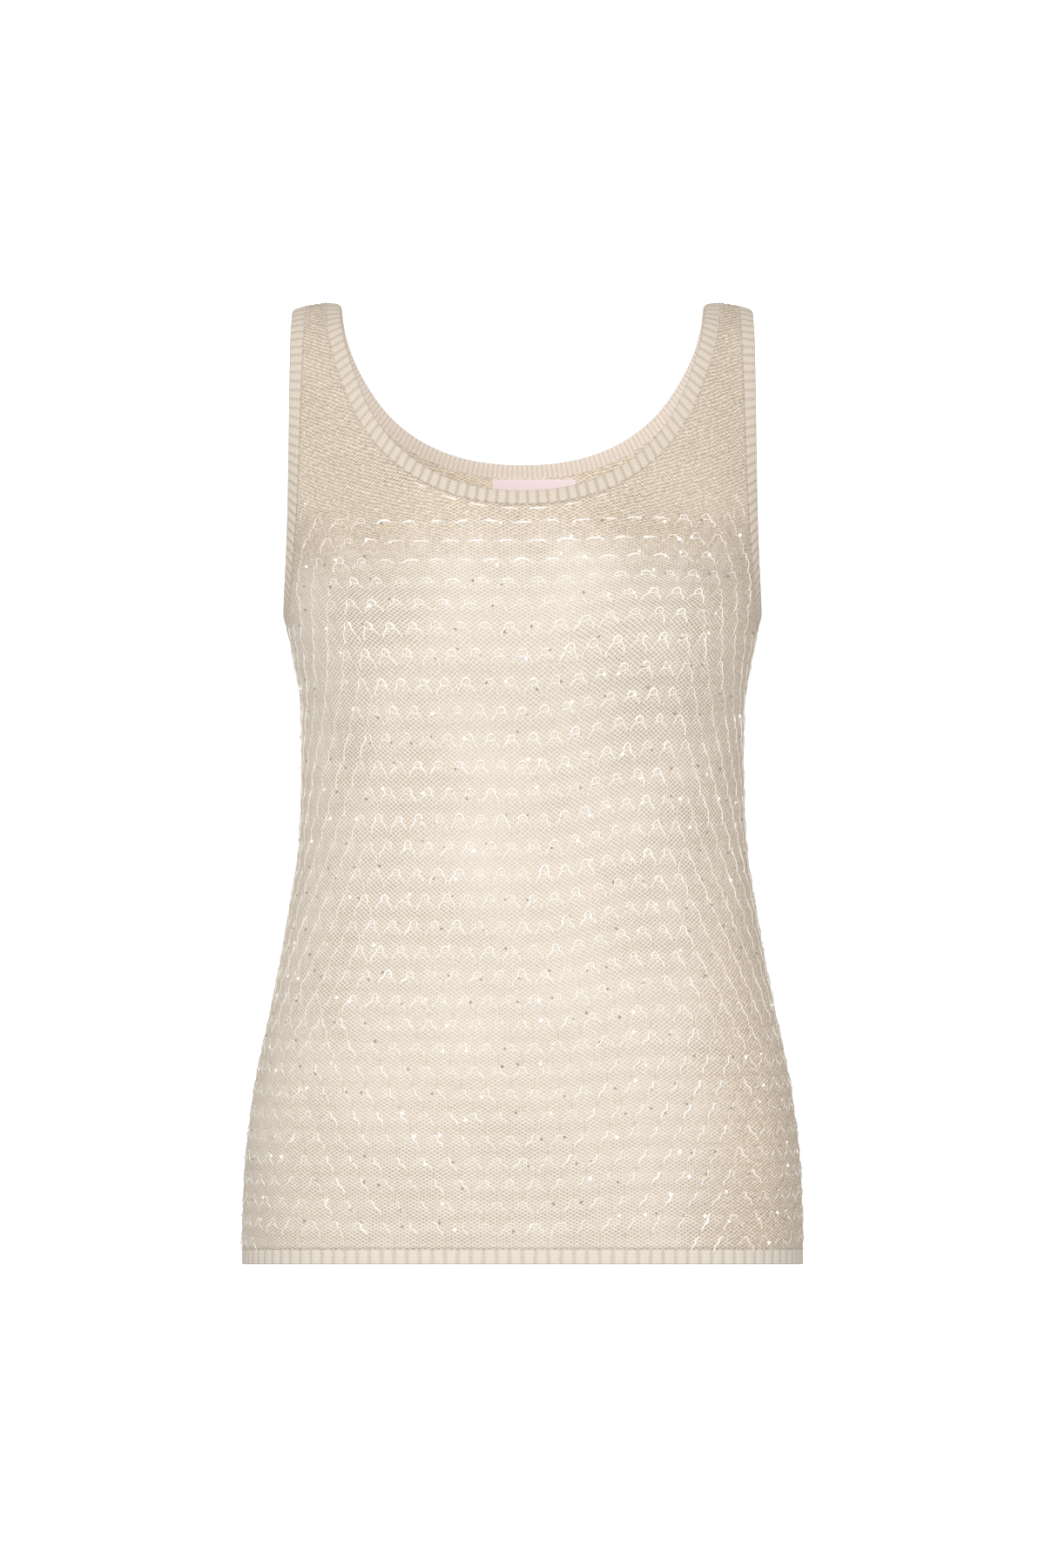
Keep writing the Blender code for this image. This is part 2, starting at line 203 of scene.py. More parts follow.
def add_camera():
    """A long lens, level with the middle of the garment and straight in front of it."""
    data = bpy.data.cameras.new("photo_camera")
    data.sensor_fit = "VERTICAL"
    data.sensor_height = SENSOR
    data.lens = SENSOR * CAMERA_DISTANCE / (PHOTO_MM_PER_PIXEL * PHOTO_HEIGHT_PIXELS * TO_METRES)
    data.clip_end = 60
    camera = add_object("photo_camera", data)
    camera.location = (0, -CAMERA_DISTANCE, CAMERA_HEIGHT)
    camera.rotation_euler = (np.pi / 2, 0, 0)
    bpy.context.scene.camera = camera


add_camera()


# ---------------------------------------------------------------- the form
def smooth(table, x, column=1):
    """Cubic Hermite interpolation of a table's column. It never overshoots, because its slopes are the
    harmonic mean of the steps on each side, or 0 where the curve turns."""
    table_x, table_y = table[:, 0], table[:, column]
    step = np.diff(table_y) / np.diff(table_x)
    product, total = step[:-1] * step[1:], step[:-1] + step[1:]
    inner = np.where(product > 0, 2 * product / np.where(total == 0, 1, total), 0)
    m = np.concatenate(([step[0]], inner, [step[-1]]))
    i = np.clip(np.searchsorted(table_x, x) - 1, 0, len(table_x) - 2)
    width = table_x[i + 1] - table_x[i]
    t = np.clip((x - table_x[i]) / width, 0, 1)
    return ((2 * t**3 - 3 * t**2 + 1) * table_y[i] + (t**3 - 2 * t**2 + t) * width * m[i]
            + (3 * t**2 - 2 * t**3) * table_y[i + 1] + (t**3 - t**2) * width * m[i + 1])


def fade(x, start=0.0, length=1.0):
    """1 up to a start and 0 from a length further, smooth between."""
    t = np.clip((x - start) / length, 0, 1)
    return 1 - t * t * (3 - 2 * t)


def rise(x, start=0.0, length=1.0):
    return 1 - fade(x, start, length)


def unit_arc(angle, roundness):
    """Point of the unit superellipse in the direction of an angle: (sine side, cosine side)."""
    s, c = np.abs(np.sin(angle)), np.abs(np.cos(angle))
    r = (s**roundness + c**roundness) ** (-1 / roundness)
    return r * s, r * c


def distance_along(points):
    """Distance along a line of points, from its first."""
    return np.concatenate(([0], np.cumsum(np.linalg.norm(np.diff(points, axis=0), axis=1))))


def half_width(drop):
    return smooth(SECTIONS, drop)


def sheet_depth(drop, sheet):
    """Depth of a sheet before it rounds over the shoulder."""
    return smooth(SECTIONS, drop, 2 if sheet == FRONT else 3)


def run_table():
    """Drop and rounding of the form against the distance run from the ridge, at a strap."""
    rise_to, cap = unit_arc(np.linspace(np.pi / 2, 0, FINE), CAP_ROUNDNESS)
    drop = np.concatenate((CAP_DROP * (1 - rise_to), np.linspace(CAP_DROP, SECTIONS[-1, 0], FINE)[1:]))
    cap = np.concatenate((cap, np.ones(FINE - 1)))
    across = STRAP_MIDDLE / half_width(drop)
    depth = sheet_depth(drop, FRONT) * cap * (1 - across**SECTION_ROUNDNESS) ** (1 / SECTION_ROUNDNESS)
    return distance_along(np.stack((depth, drop), -1)), drop, cap


RUN, RUN_DROP, RUN_CAP = run_table()
TURN = np.linspace(0, 1, FINE)
TURN_ACROSS = unit_arc(TURN * np.pi / 2, SECTION_ROUNDNESS)[0]


def drop_of_run(run):
    return np.interp(run, RUN, RUN_DROP)


def run_of_drop(drop):
    return np.interp(drop, RUN_DROP, RUN)


def form(turn, run, sheet):
    """Points of the form. A horizontal section is half a superellipse, scaled to the table's width
    and depth; near the ridge the depth also follows a superellipse, so the strap rounds over."""
    drop, cap = drop_of_run(run), np.interp(run, RUN, RUN_CAP)
    across, along = unit_arc(turn * np.pi / 2, SECTION_ROUNDNESS)
    x = np.sign(turn) * across * half_width(drop)
    y = sheet * along * sheet_depth(drop, sheet) * cap + SET_BACK * fade(drop, 0, SET_BACK_REACH)
    z = RIDGE_HEIGHT - drop - SHOULDER_SLOPE * (np.abs(x) - STRAP_MIDDLE) * fade(drop, 0, SLOPE_REACH)
    return np.stack((x, y, z), axis=-1)


def place(x, drop):
    """(turn, run) of the point at distance x from the centre line and at a drop."""
    turn = np.sign(x) * np.interp(np.abs(x) / half_width(drop), TURN_ACROSS, TURN)
    return turn, run_of_drop(drop)


def partials(turn, run, sheet):
    """Change of the form's point per unit of turn and of run, from small steps to both sides."""
    e_turn, e_run = 1e-4, 0.05
    t0 = np.clip(turn - e_turn, -1, 1 - 2 * e_turn)
    t1 = t0 + 2 * e_turn
    r0 = np.maximum(run - e_run, 0)
    r1 = r0 + 2 * e_run
    by_turn = (form(t1, run, sheet) - form(t0, run, sheet)) / (t1 - t0)[..., None]
    by_run = (form(turn, r1, sheet) - form(turn, r0, sheet)) / (r1 - r0)[..., None]
    return by_turn, by_run


def shifted(turn, run, sheet, distance, steps=4):
    """A curve on the form, moved sideways on it by a distance, to the right of its direction."""
    for _ in range(steps):
        by_turn, by_run = partials(turn, run, sheet)
        tangent = by_turn * np.gradient(turn)[:, None] + by_run * np.gradient(run)[:, None]
        e, f, g = (by_turn**2).sum(-1), (by_turn * by_run).sum(-1), (by_run**2).sum(-1)
        side_turn, side_run = (by_run * tangent).sum(-1), -(by_turn * tangent).sum(-1)
        length = np.sqrt(e * side_turn**2 + 2 * f * side_turn * side_run + g * side_run**2)
        turn = np.clip(turn + side_turn / length * distance / steps, -1, 1)
        run = np.maximum(run + side_run / length * distance / steps, 0)
    return turn, run


def evenly(turn, run, sheet, count):
    """The same curve with count + 1 points, evenly spaced along its length."""
    length = distance_along(form(turn, run, sheet))
    want = np.linspace(0, length[-1], count + 1)
    return np.interp(want, length, turn), np.interp(want, length, run)


def neck_opening(sheet):
    """Edge of the neck opening from the -X ridge to the +X ridge: a superellipse seen from the front."""
    angle = np.linspace(-np.pi / 2, np.pi / 2, 2 * FINE)
    across, down = unit_arc(angle, NECK_ROUNDNESS)
    drop = NECK_DROP[sheet] * down
    x = np.sign(angle) * (NECK_HALF_WIDTH * across + NECK_FLARE * fade(drop, 0, NECK_FLARE_REACH))
    return place(x, np.maximum(drop, 0))


def armhole_opening():
    """Edge of the +X armhole from the side seam up to the ridge, all but straight seen from the front."""
    drop = ARMHOLE_DROP * np.sin(np.linspace(np.pi / 2, 0, FINE))
    widest = half_width(np.array(ARMHOLE_DROP))
    x = ARMHOLE_HALF_WIDTH + (widest - ARMHOLE_HALF_WIDTH) * (drop / ARMHOLE_DROP) ** ARMHOLE_FLARE
    turn, run = place(x, drop)
    turn[0] = 1.0
    return turn, run


def neck_line(sheet, distance, count):
    """The neck opening moved outwards, down the panel, and spaced evenly."""
    turn, run = shifted(*neck_opening(sheet), sheet, -distance)
    turn, run = evenly(turn, run, sheet, count)
    run[[0, -1]] = 0
    return turn, run


def armhole_line(sheet, distance, count):
    """The armhole opening moved into the panel, from the side seam to the ridge."""
    turn, run = shifted(*armhole_opening(), sheet, distance)
    turn[0] = 1.0
    turn, run = evenly(np.minimum(turn, 1), run, sheet, count)
    run[-1] = 0
    return turn, run


def hem_run(turn, sheet, above):
    """Run of a line parallel to the hem, a distance above its edge."""
    y = form(turn, np.full_like(turn, run_of_drop(GARMENT_LENGTH)), sheet)[..., 1]
    return run_of_drop(GARMENT_LENGTH + HEM_RISE * y - above)


def hem_line(sheet, above, count):
    """A line parallel to the hem from the -X side seam to the +X one, spaced evenly."""
    turn = np.linspace(-1, 1, 2 * FINE)
    return evenly(turn, hem_run(turn, sheet, above), sheet, count)


def armhole_rows(sheet):
    """Points of the armhole's edge for a panel's rows, spaced by their run more than by their distance,
    because the edge is all but level at the underarm and rows that crowd there make slivers."""
    turn, run = armhole_line(sheet, ARMBAND_WIDTH - TUCK, FINE)
    distance = distance_along(form(turn, run, sheet))
    measure = np.concatenate(([0], np.cumsum(np.abs(np.diff(run))))) + UNDERARM_SHARE * distance
    want = np.linspace(0, measure[-1], ARMHOLE_ROWS + 1)
    return np.interp(want, measure, turn), np.interp(want, measure, run)


def panel_grid(sheet):
    """Turn and run of a panel's grid. Each row keeps one share of the way from the hem line to the top
    line, the share that the side edge has there; its turn is then pulled in to meet that edge."""
    bottom_turn = np.linspace(-1, 1, 2 * SHOULDER_COLUMNS + NECK_COLUMNS + 1)
    bottom_run = hem_run(bottom_turn, sheet, HEM_BAND_HEIGHT - TUCK)
    neck_turn, neck_run = neck_line(sheet, NECKBAND_WIDTH - TUCK, NECK_COLUMNS)
    arm_turn, arm_run = armhole_rows(sheet)
    strap = np.linspace(-arm_turn[-1], neck_turn[0], SHOULDER_COLUMNS + 1)
    top_turn = np.concatenate((strap[:-1], neck_turn, -strap[::-1][1:]))
    top_run = np.pad(neck_run, SHOULDER_COLUMNS)
    side_turn = np.concatenate((np.ones(SIDE_ROWS), arm_turn))[:, None]
    side_run = np.concatenate((np.linspace(bottom_run[-1], arm_run[0], SIDE_ROWS + 1)[:-1], arm_run))

    share = ((side_run[0] - side_run) / side_run[0])[:, None]
    pull = np.linspace(-1, 1, len(top_turn)) ** SIDE_PULL
    straight = (1 - share) + share * top_turn[-1]
    turn = (1 - share) * bottom_turn + share * top_turn + pull * (side_turn - straight)
    run = (1 - share) * bottom_run + share * top_run
    return np.clip(turn, -1, 1), np.maximum(run, RIDGE_GAP)


# ---------------------------------------------------------------- cells on the form
def share_table(sheet):
    """Share of the way from the centre line to the side seam, measured along the cloth, for each
    level and turn: the length of a section up to that turn over its whole length."""
    drop, turn = np.meshgrid(TABLE_DROPS, TURN, indexing="ij")
    step = np.linalg.norm(np.diff(form(turn, run_of_drop(drop), sheet), axis=1), axis=2)
    length = np.concatenate((np.zeros((len(step), 1)), np.cumsum(step, axis=1)), axis=1)
    return length / length[:, -1:]


def look_up(table, row, column):
    """Bilinear reading of a table at a fractional row and column."""
    i = np.clip(np.floor(row).astype(int), 0, table.shape[0] - 2)
    j = np.clip(np.floor(column).astype(int), 0, table.shape[1] - 2)
    p, q = np.clip(row - i, 0, 1), np.clip(column - j, 0, 1)
    upper = table[i, j] * (1 - q) + table[i, j + 1] * q
    lower = table[i + 1, j] * (1 - q) + table[i + 1, j + 1] * q
    return upper * (1 - p) + lower * p


SHARE_OF_TURN = {sheet: share_table(sheet) for sheet in (FRONT, BACK)}
TURN_OF_SHARE = {
    sheet: np.stack([np.interp(TURN, level, TURN) for level in SHARE_OF_TURN[sheet]])
    for sheet in (FRONT, BACK)
}
FINE_DROPS = np.linspace(ROWS[0, 0], ROWS[-1, 0], 4 * FINE)
FINE_ROWS = smooth(ROWS, FINE_DROPS)


def climb(x, drop, sheet):
    """How much higher the pattern rows lie at x than on the centre line."""
    towards, share = (x, 1.0) if sheet == FRONT else (-x, BACK_CLIMB)
    return share * rise(towards, CLIMB_FROM, CLIMB_LENGTH) * smooth(CLIMB, drop)


def middle_stretch(drop):
    return MIDDLE_STRETCH * fade(drop, STRETCH_FROM, STRETCH_LENGTH)


def cells_at(turn, run, sheet):
    """(cells across, rows down) of a point of the form. The stretch k of the middle turns a share s of
    the width into s - k s (1 - s). Over the shoulder the rows follow the run, elsewhere the drop."""
    drop = drop_of_run(run)
    share = look_up(SHARE_OF_TURN[sheet], drop / TABLE_STEP, np.abs(turn) * (FINE - 1))
    share = share - middle_stretch(drop) * share * (1 - share)
    x = form(turn, run, sheet)[..., 0]
    level = np.where(drop < CAP_DROP, CAP_DROP + run - run_of_drop(CAP_DROP), drop)
    rows = np.interp(level + climb(x, drop, sheet), FINE_DROPS, FINE_ROWS)
    return np.sign(turn) * CELLS_TO_SIDE * share, rows


def at_cells(across, down, sheet):
    """(turn, run) of a place given in cells. The climb and the stretch depend on where the place is, so
    the drop is found in a few rounds, each solving the quadratic of cells_at() for the share."""
    level = np.interp(down, FINE_ROWS, FINE_DROPS)
    want = np.clip(np.abs(across) / CELLS_TO_SIDE, 0, 1)
    drop = level
    for _ in range(4):
        k = np.maximum(middle_stretch(drop), 1e-4)
        share = (k - 1 + np.sqrt((1 - k) ** 2 + 4 * k * want)) / (2 * k)
        turn = np.sign(across) * look_up(TURN_OF_SHARE[sheet], drop / TABLE_STEP, share * (FINE - 1))
        x = form(turn, run_of_drop(drop), sheet)[..., 0]
        drop = np.maximum(level - climb(x, drop, sheet), 0)
    return turn, run_of_drop(drop)


# ---------------------------------------------------------------- the cloth
# Long shallow troughs (height below 0) and ridges where the knit is pulled from the underarm to the
# waist and hangs from the hips. Start and end on the cloth, seen from the front or from the back.
# sheet, start x, start drop, end x, end drop, width, height
FOLDS = np.array([
    (FRONT, -150, 222, -96, 300, 9, -0.9), (FRONT, -146, 262, -104, 318, 8, 0.7),
    (FRONT, -136, 392, -92, 480, 12, 0.9), (FRONT, -150, 436, -112, 560, 11, -1.0),
    (FRONT, -84, 470, -66, 590, 13, 0.6), (FRONT, 150, 226, 104, 288, 9, -0.8),
    (FRONT, 140, 398, 100, 470, 12, 0.8), (FRONT, 154, 452, 118, 575, 12, -0.9),
    (FRONT, 70, 500, 60, 592, 13, 0.5), (FRONT, -52, 250, -30, 296, 14, -0.5),
    (FRONT, 58, 246, 34, 290, 13, -0.5), (BACK, -148, 216, -90, 276, 10, -1.1),
    (BACK, -120, 300, -60, 352, 12, 0.9), (BACK, -140, 410, -98, 520, 12, 0.9),
    (BACK, 146, 220, 98, 290, 9, -0.9), (BACK, 118, 312, 70, 345, 12, 0.8),
    (BACK, 150, 440, 108, 560, 12, -1.0), (BACK, 20, 330, 26, 420, 16, -0.7),
    (BACK, -40, 480, -48, 592, 14, 0.6),
])


def fold_height(points, sheet):
    """Sum of the soft folds at some points: each is a bell across its line, faded out at both ends."""
    x, drop = points[..., 0], -points[..., 2]
    total = np.zeros(x.shape)
    for _, x0, drop0, x1, drop1, width, height in FOLDS[FOLDS[:, 0] == sheet]:
        along_x, along_drop = x1 - x0, drop1 - drop0
        length = np.hypot(along_x, along_drop)
        t = ((x - x0) * along_x + (drop - drop0) * along_drop) / length**2
        aside = ((x - x0) * along_drop - (drop - drop0) * along_x) / length
        total += height * np.sin(np.pi * np.clip(t, 0, 1)) ** 2 * np.exp(-((aside / width) ** 2))
    return total


def strap_lift(points, run):
    """Extra height near the ridge: a straight slope, less two exponentials at the strap's two edges."""
    x = np.abs(points[..., 0])
    slope = STRAP_LIFT + STRAP_TILT * (STRAP_MIDDLE - x)
    from_neck = np.maximum(x - NECK_HALF_WIDTH - NECK_FLARE, 0)
    from_arm = np.maximum(ARMHOLE_HALF_WIDTH - x, 0)
    corners = NECK_CORNER * np.exp(-from_neck / NECK_CORNER) + ARM_CORNER * np.exp(-from_arm / ARM_CORNER)
    return slope * fade(run, 0, STRAP_LIFT_REACH) - corners * fade(run, 0, CORNER_REACH)


def skin(turn, run, sheet, height):
    """Points of the cloth at a height above its middle, with the soft folds, and outward normals."""
    by_turn, by_run = partials(turn, run, sheet)
    normal = sheet * np.cross(by_turn, by_run)
    normal /= np.linalg.norm(normal, axis=-1, keepdims=True)
    points = form(turn, run, sheet)
    lift = height + fold_height(points, sheet) + strap_lift(points, run)
    return points + normal * lift[..., None], normal


def dome(across, down):
    """Swelling of the cloth between the thread's rings: a soft bump in the middle of each wide cell, as
    the square of a sum of two cosines, which is 1 there and 0 on the rings."""
    bump = (np.cos(2 * np.pi * (across + 0.5)) + np.cos(np.pi * down)) / 2
    return DOME_HEIGHT * bump**2


# ---------------------------------------------------------------- meshes
def grid_faces(rows, columns, ring=False, hoop=False):
    """Quads between the points of a grid, joined up across its columns for a ring, and along its rows
    for a hoop."""
    index = np.arange(rows * columns).reshape(rows, columns)
    index = np.pad(index, ((0, int(hoop)), (0, int(ring))), "wrap")
    return np.stack((index[:-1, :-1], index[:-1, 1:], index[1:, 1:], index[1:, :-1]), -1).reshape(-1, 4)


def signed_volume(vertices, faces):
    """Volume enclosed by quads: a sixth of the sum of the triple products of their corners. It is
    below zero when the faces point inwards, which holds only if they are closed, caps and all."""
    a, b, c, d = (vertices[faces[:, k]] for k in range(4))
    return ((np.cross(b, c) + np.cross(c, d)) * a).sum() / 6


def closed_wall(outer, inner):
    """Vertices and faces of a wall between two grids of points: the quads of both and, last, a rim
    round their edges. The third value is the number of quads in each grid."""
    rows, columns = outer.shape[:2]
    quads, count = grid_faces(rows, columns), rows * columns
    index = np.arange(count).reshape(rows, columns)
    loop = np.concatenate((index[0, :-1], index[:-1, -1], index[-1, :0:-1], index[:0:-1, 0]))
    after = np.roll(loop, -1)
    rim = np.stack((after, loop, loop + count, after + count), -1)
    faces = np.concatenate((quads, quads[:, ::-1] + count, rim))
    return np.concatenate((outer.reshape(-1, 3), inner.reshape(-1, 3))), faces, len(quads)


def make_piece(name, vertices, faces, materials, slot, uv=None, kinds=None, flat=None, closed=True):
    """A smooth mesh at the origin that rides on the garment; a closed one is turned to point outwards.
    uv has one pair for each vertex, kinds is the number of each face's material, and flat marks the
    faces at square edges, which don't round the shading of their neighbours."""
    if closed and signed_volume(vertices, faces) < 0:
        faces = faces[:, ::-1]
    mesh = bpy.data.meshes.new(name)
    mesh.from_pydata((vertices * TO_METRES).tolist(), [], faces.tolist())
    for material in materials:
        mesh.materials.append(material)
    if kinds is not None:
        mesh.polygons.foreach_set("material_index", kinds.astype(np.int32))
    if uv is not None:
        corner = np.empty(len(mesh.loops), np.int32)
        mesh.loops.foreach_get("vertex_index", corner)
        layer = mesh.uv_layers.new(name="cells")
        layer.data.foreach_set("uv", uv[corner].astype(np.float32).ravel())
    mesh.shade_smooth()
    if flat is not None:
        mesh.polygons.foreach_set("use_smooth", ~flat)
    piece = add_object(name, mesh)
    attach(piece, "root")
    return piece


def tubes(paths, normals, radius):
    """Threads along many paths at once, closed by a quad at each end. paths and normals have the shape
    (threads, points, 3) and radius (threads, points): a ring of four corners about each point, across
    the path's direction."""
    along = np.gradient(paths, axis=1)
    along /= np.linalg.norm(along, axis=-1, keepdims=True)
    aside = np.cross(along, normals)
    aside /= np.linalg.norm(aside, axis=-1, keepdims=True)
    up = np.cross(aside, along)
    angle = 2 * np.pi * np.arange(THREAD_SIDES) / THREAD_SIDES
    ring = np.cos(angle)[:, None] * aside[:, :, None] + np.sin(angle)[:, None] * up[:, :, None]
    vertices = paths[:, :, None] + radius[:, :, None, None] * ring
    threads, points = paths.shape[:2]
    start = np.arange(threads)[:, None, None] * points * THREAD_SIDES
    faces = (start + grid_faces(points, THREAD_SIDES, ring=True)).reshape(-1, 4)
    first = np.arange(THREAD_SIDES)
    caps = (start + np.stack((first[::-1], (points - 1) * THREAD_SIDES + first))).reshape(-1, THREAD_SIDES)
    return vertices.reshape(-1, 3), np.concatenate((faces, caps))


def joined(parts):
    """Several pairs of (vertices, faces) as one."""
    starts = np.cumsum([0] + [len(vertices) for vertices, _ in parts[:-1]])
    faces = [faces + start for (_, faces), start in zip(parts, starts)]
    return np.concatenate([vertices for vertices, _ in parts]), np.concatenate(faces)


# ---------------------------------------------------------------- shader nodes
class Value:
    """A number, colour or vector in a shader tree, so that formulas can be written with their signs."""

    def __init__(self, socket):
        self.socket = socket
        self.tree = socket.id_data

    def maths(self, operation, other=0.0):
        inputs = {0: self, 1: other}
        return Value(add_node(self.tree, "ShaderNodeMath", inputs, operation=operation).outputs[0])

    def __add__(self, other):
        return self.maths("ADD", other)

    def __sub__(self, other):
        return self.maths("SUBTRACT", other)

    def __rsub__(self, other):
        inputs = {0: other, 1: self}
        return Value(add_node(self.tree, "ShaderNodeMath", inputs, operation="SUBTRACT").outputs[0])

    def __mul__(self, other):
        return self.maths("MULTIPLY", other)

    def __pow__(self, other):
        return self.maths("POWER", other)

    def clamp(self):
        """The same value, kept between 0 and 1."""
        self.socket.node.use_clamp = True
        return self

    def mix(self, first, second):
        """The first colour where this is 0 and the second where it is 1."""
        inputs = {0: self, 6: first, 7: second}
        return Value(add_node(self.tree, "ShaderNodeMix", inputs, data_type="RGBA").outputs[2])


def feed(socket, value):
    """Links a Value to a socket, or sets a plain value on it."""
    if isinstance(value, Value):
        value.tree.links.new(value.socket, socket)
    else:
        socket.default_value = value


def add_node(tree, kind, inputs=(), **settings):
    """A node with its settings, and its inputs by number or name."""
    node = tree.nodes.new(kind)
    for name, value in settings.items():
        setattr(node, name, value)
    for key, value in dict(inputs).items():
        feed(node.inputs[key], value)
    return node


def noise(vector, scale, detail=2.0, roughness=0.5, output="Fac"):
    node = add_node(vector.tree, "ShaderNodeTexNoise", {
        "Vector": vector, "Scale": scale, "Detail": detail, "Roughness": roughness,
    })
    return Value(node.outputs[output])


def vector_maths(operation, first, second):
    inputs = {0: first, "Scale" if operation == "SCALE" else 1: second}
    return Value(add_node(first.tree, "ShaderNodeVectorMath", inputs, operation=operation).outputs[0])


def axes(vector):
    """The three parts of a vector."""
    return [Value(part) for part in add_node(vector.tree, "ShaderNodeSeparateXYZ", {0: vector}).outputs]


def squared_cosine(phase):
    wave = phase.maths("COSINE")
    return wave * wave


def ramp(value, start, length):
    """0 up to a start and 1 from a length further, straight between."""
    return ((value - start) * (1 / length)).clamp()


ANY_COLOUR = (0.8, 0.7, 0.6, 1)


def new_group(name, inputs, outputs):
    """An empty node group. An input's value tells its kind: none for a vector, four numbers for a colour."""
    tree = bpy.data.node_groups.new(name, "ShaderNodeTree")
    for label, value in inputs.items():
        kind = "Vector" if value is None else "Color" if np.ndim(value) else "Float"
        socket = tree.interface.new_socket(label, in_out="INPUT", socket_type="NodeSocket" + kind)
        if value is not None:
            socket.default_value = value
    for label, kind in outputs.items():
        tree.interface.new_socket(label, in_out="OUTPUT", socket_type="NodeSocket" + kind)
    given = {socket.name: Value(socket) for socket in tree.nodes.new("NodeGroupInput").outputs}
    return tree, given, tree.nodes.new("NodeGroupOutput").inputs


def knit_mesh_group():
    """Openwork knitting in cells. Holes stand in a quincunx: the product of two squared cosines along the
    two diagonals is 1 in each hole and 0 on the strands between, and the product of the two squared sines is
    1 on the lumps of yarn between four holes. The holes take the brown Hole colour, a painted shade of the
    inside seen through them. The honeycomb is the square of a sum of two cosines, as in dome(). The same sum
    moved up by part of a row marks the pinched places between the thread's feet, where the holes are long
    and painted the same brown shade. The holes are more open between the thread's rows. Noise moves the
    holes, makes them uneven and the yarn lighter and darker, more where the coarse input is 1; there the
    lumps show and the yarn takes the darker Yarn Shade colour, which at the sides is painted shade."""
    tree, given, out = new_group("knit_mesh", {
        "Cells": None, "Coarse And Side Shade": 0.0, "Open": 1.0, "Pinch": 1.0, "Holes Across": 4.0, "Holes Down": 6.0,
        "Hole Size": 1.2, "Yarn": ANY_COLOUR, "Yarn Light": ANY_COLOUR, "Yarn Shade": ANY_COLOUR,
        "Hole": ANY_COLOUR,
    }, {"Color": "Color", "Height": "Float", "Roughness": "Float"})
    cells, coarse = given["Cells"], given["Coarse And Side Shade"]
    fine = 1 - coarse
    shift = vector_maths("SUBTRACT", noise(cells, 1.7, 3.0, output="Color"), (0.5, 0.5, 0.5))
    x, y, _ = axes(vector_maths("ADD", cells, vector_maths("SCALE", shift, coarse * 0.06 + 0.12)))
    across, down = x * given["Holes Across"], y * given["Holes Down"]
    rising, falling = squared_cosine((across + down) * np.pi), squared_cosine((across - down) * np.pi)
    spread = noise(cells, 4.1, 3.0, 0.75)
    plain_x, plain_y, _ = axes(cells)
    between_rows = 1 - (plain_y * (2 * np.pi)).maths("COSINE") * fine * 0.1
    opening = (spread + 0.5) * between_rows * given["Open"]
    hole = ((rising * falling) ** ((spread + 0.35) * given["Hole Size"]) * opening).clamp()
    ring_wave = (plain_x * (2 * np.pi)).maths("COSINE")

    def lattice(rows_up, sharpness):
        level = ((plain_y + rows_up) * np.pi).maths("COSINE")
        return ((ring_wave + level) * 0.5).maths("ABSOLUTE") ** sharpness

    streak = squared_cosine(x * (6 * np.pi))
    pinched = lattice(0.36, 6.0) * (spread * given["Pinch"]) * (streak * 0.3 + 0.3)
    # Painted shade: the holes and the pinched places take the brown Hole colour.
    dark = hole.maths("MAXIMUM", pinched)
    soft = (lattice(0.0, 2.0) + spread) * 0.55
    lumps = (1 - rising) * (1 - falling) * spread * 2.4
    tint = (soft * fine + lumps * coarse).clamp()
    yarn = tint.mix(coarse.mix(given["Yarn"], given["Yarn Shade"]), given["Yarn Light"])
    slubs = (noise(cells, 6.0, 2.0, 0.8) - 0.5) * (coarse * 0.85 + 0.34) + 1.0
    feed(out["Color"], vector_maths("SCALE", dark.mix(yarn, given["Hole"]), slubs))
    feed(out["Height"], tint * 0.3 + 1.0 - dark + noise(cells, 38.0) * 0.35)
    feed(out["Roughness"], hole * 0.15 + 0.72)
    return tree


def rib_group():
    """Ribbed knitting. Along the band a rib is one unit: a power of the squared cosine of half its phase is
    1 in the thin furrows and 0 on the ribs, and the furrows' darker colour is painted shade. Across, short
    stitches are drawn by a slanted wave on each side of the rib, and the whole pattern sways a little."""
    tree, given, out = new_group("rib", {
        "Along": None, "Stitches": 5.0, "Depth": 0.6, "Yarn": ANY_COLOUR, "Furrow Shade": ANY_COLOUR,
    }, {"Color": "Color", "Height": "Float"})
    along, across, _ = axes(given["Along"])
    patches = noise(given["Along"], 2.3, 4.0, 0.75)
    phase = (along + (patches - 0.5) * 0.35) * (2 * np.pi)
    # Painted shade: the furrows take the darker colour.
    furrow_shade = (phase.maths("COSINE") * 0.5 + 0.5) ** 4.5
    slant = phase.maths("SINE").maths("ABSOLUTE")
    stitch = (across * given["Stitches"] * (2 * np.pi) + slant * 2.0).maths("SINE")
    shade = furrow_shade + (stitch * 0.5 + 0.5) * 0.4
    tinted = (shade * (patches + 0.4) * given["Depth"]).clamp()
    feed(out["Color"], tinted.mix(given["Yarn"], given["Furrow Shade"]))
    feed(out["Height"], 1 - shade)
    return tree


KNIT_MESH = knit_mesh_group()
RIB = rib_group()


# ---------------------------------------------------------------- materials
# Painted light: weak glows that brighten the shaded inside of the cloth and the label, and painted glints on
# the thread and the pale sequins that show from every side.
INSIDE_GLOW, LABEL_GLOW, THREAD_GLOW, SEQUIN_GLOW = 0.13, 0.35, 0.08, 0.35
KNIT_BUMP, RIB_BUMP, SATIN_BUMP = 0.0006, 0.0004, 0.0001
# The coarse knit's lower edge at the middle (m), its fall to the armholes, and how sharp it is.
COARSE_DOWN_TO, COARSE_SLANT, COARSE_EDGE = 0.138, 0.25, 30.0
HOLE_SIZE, OPENNESS = 0.95, 0.54


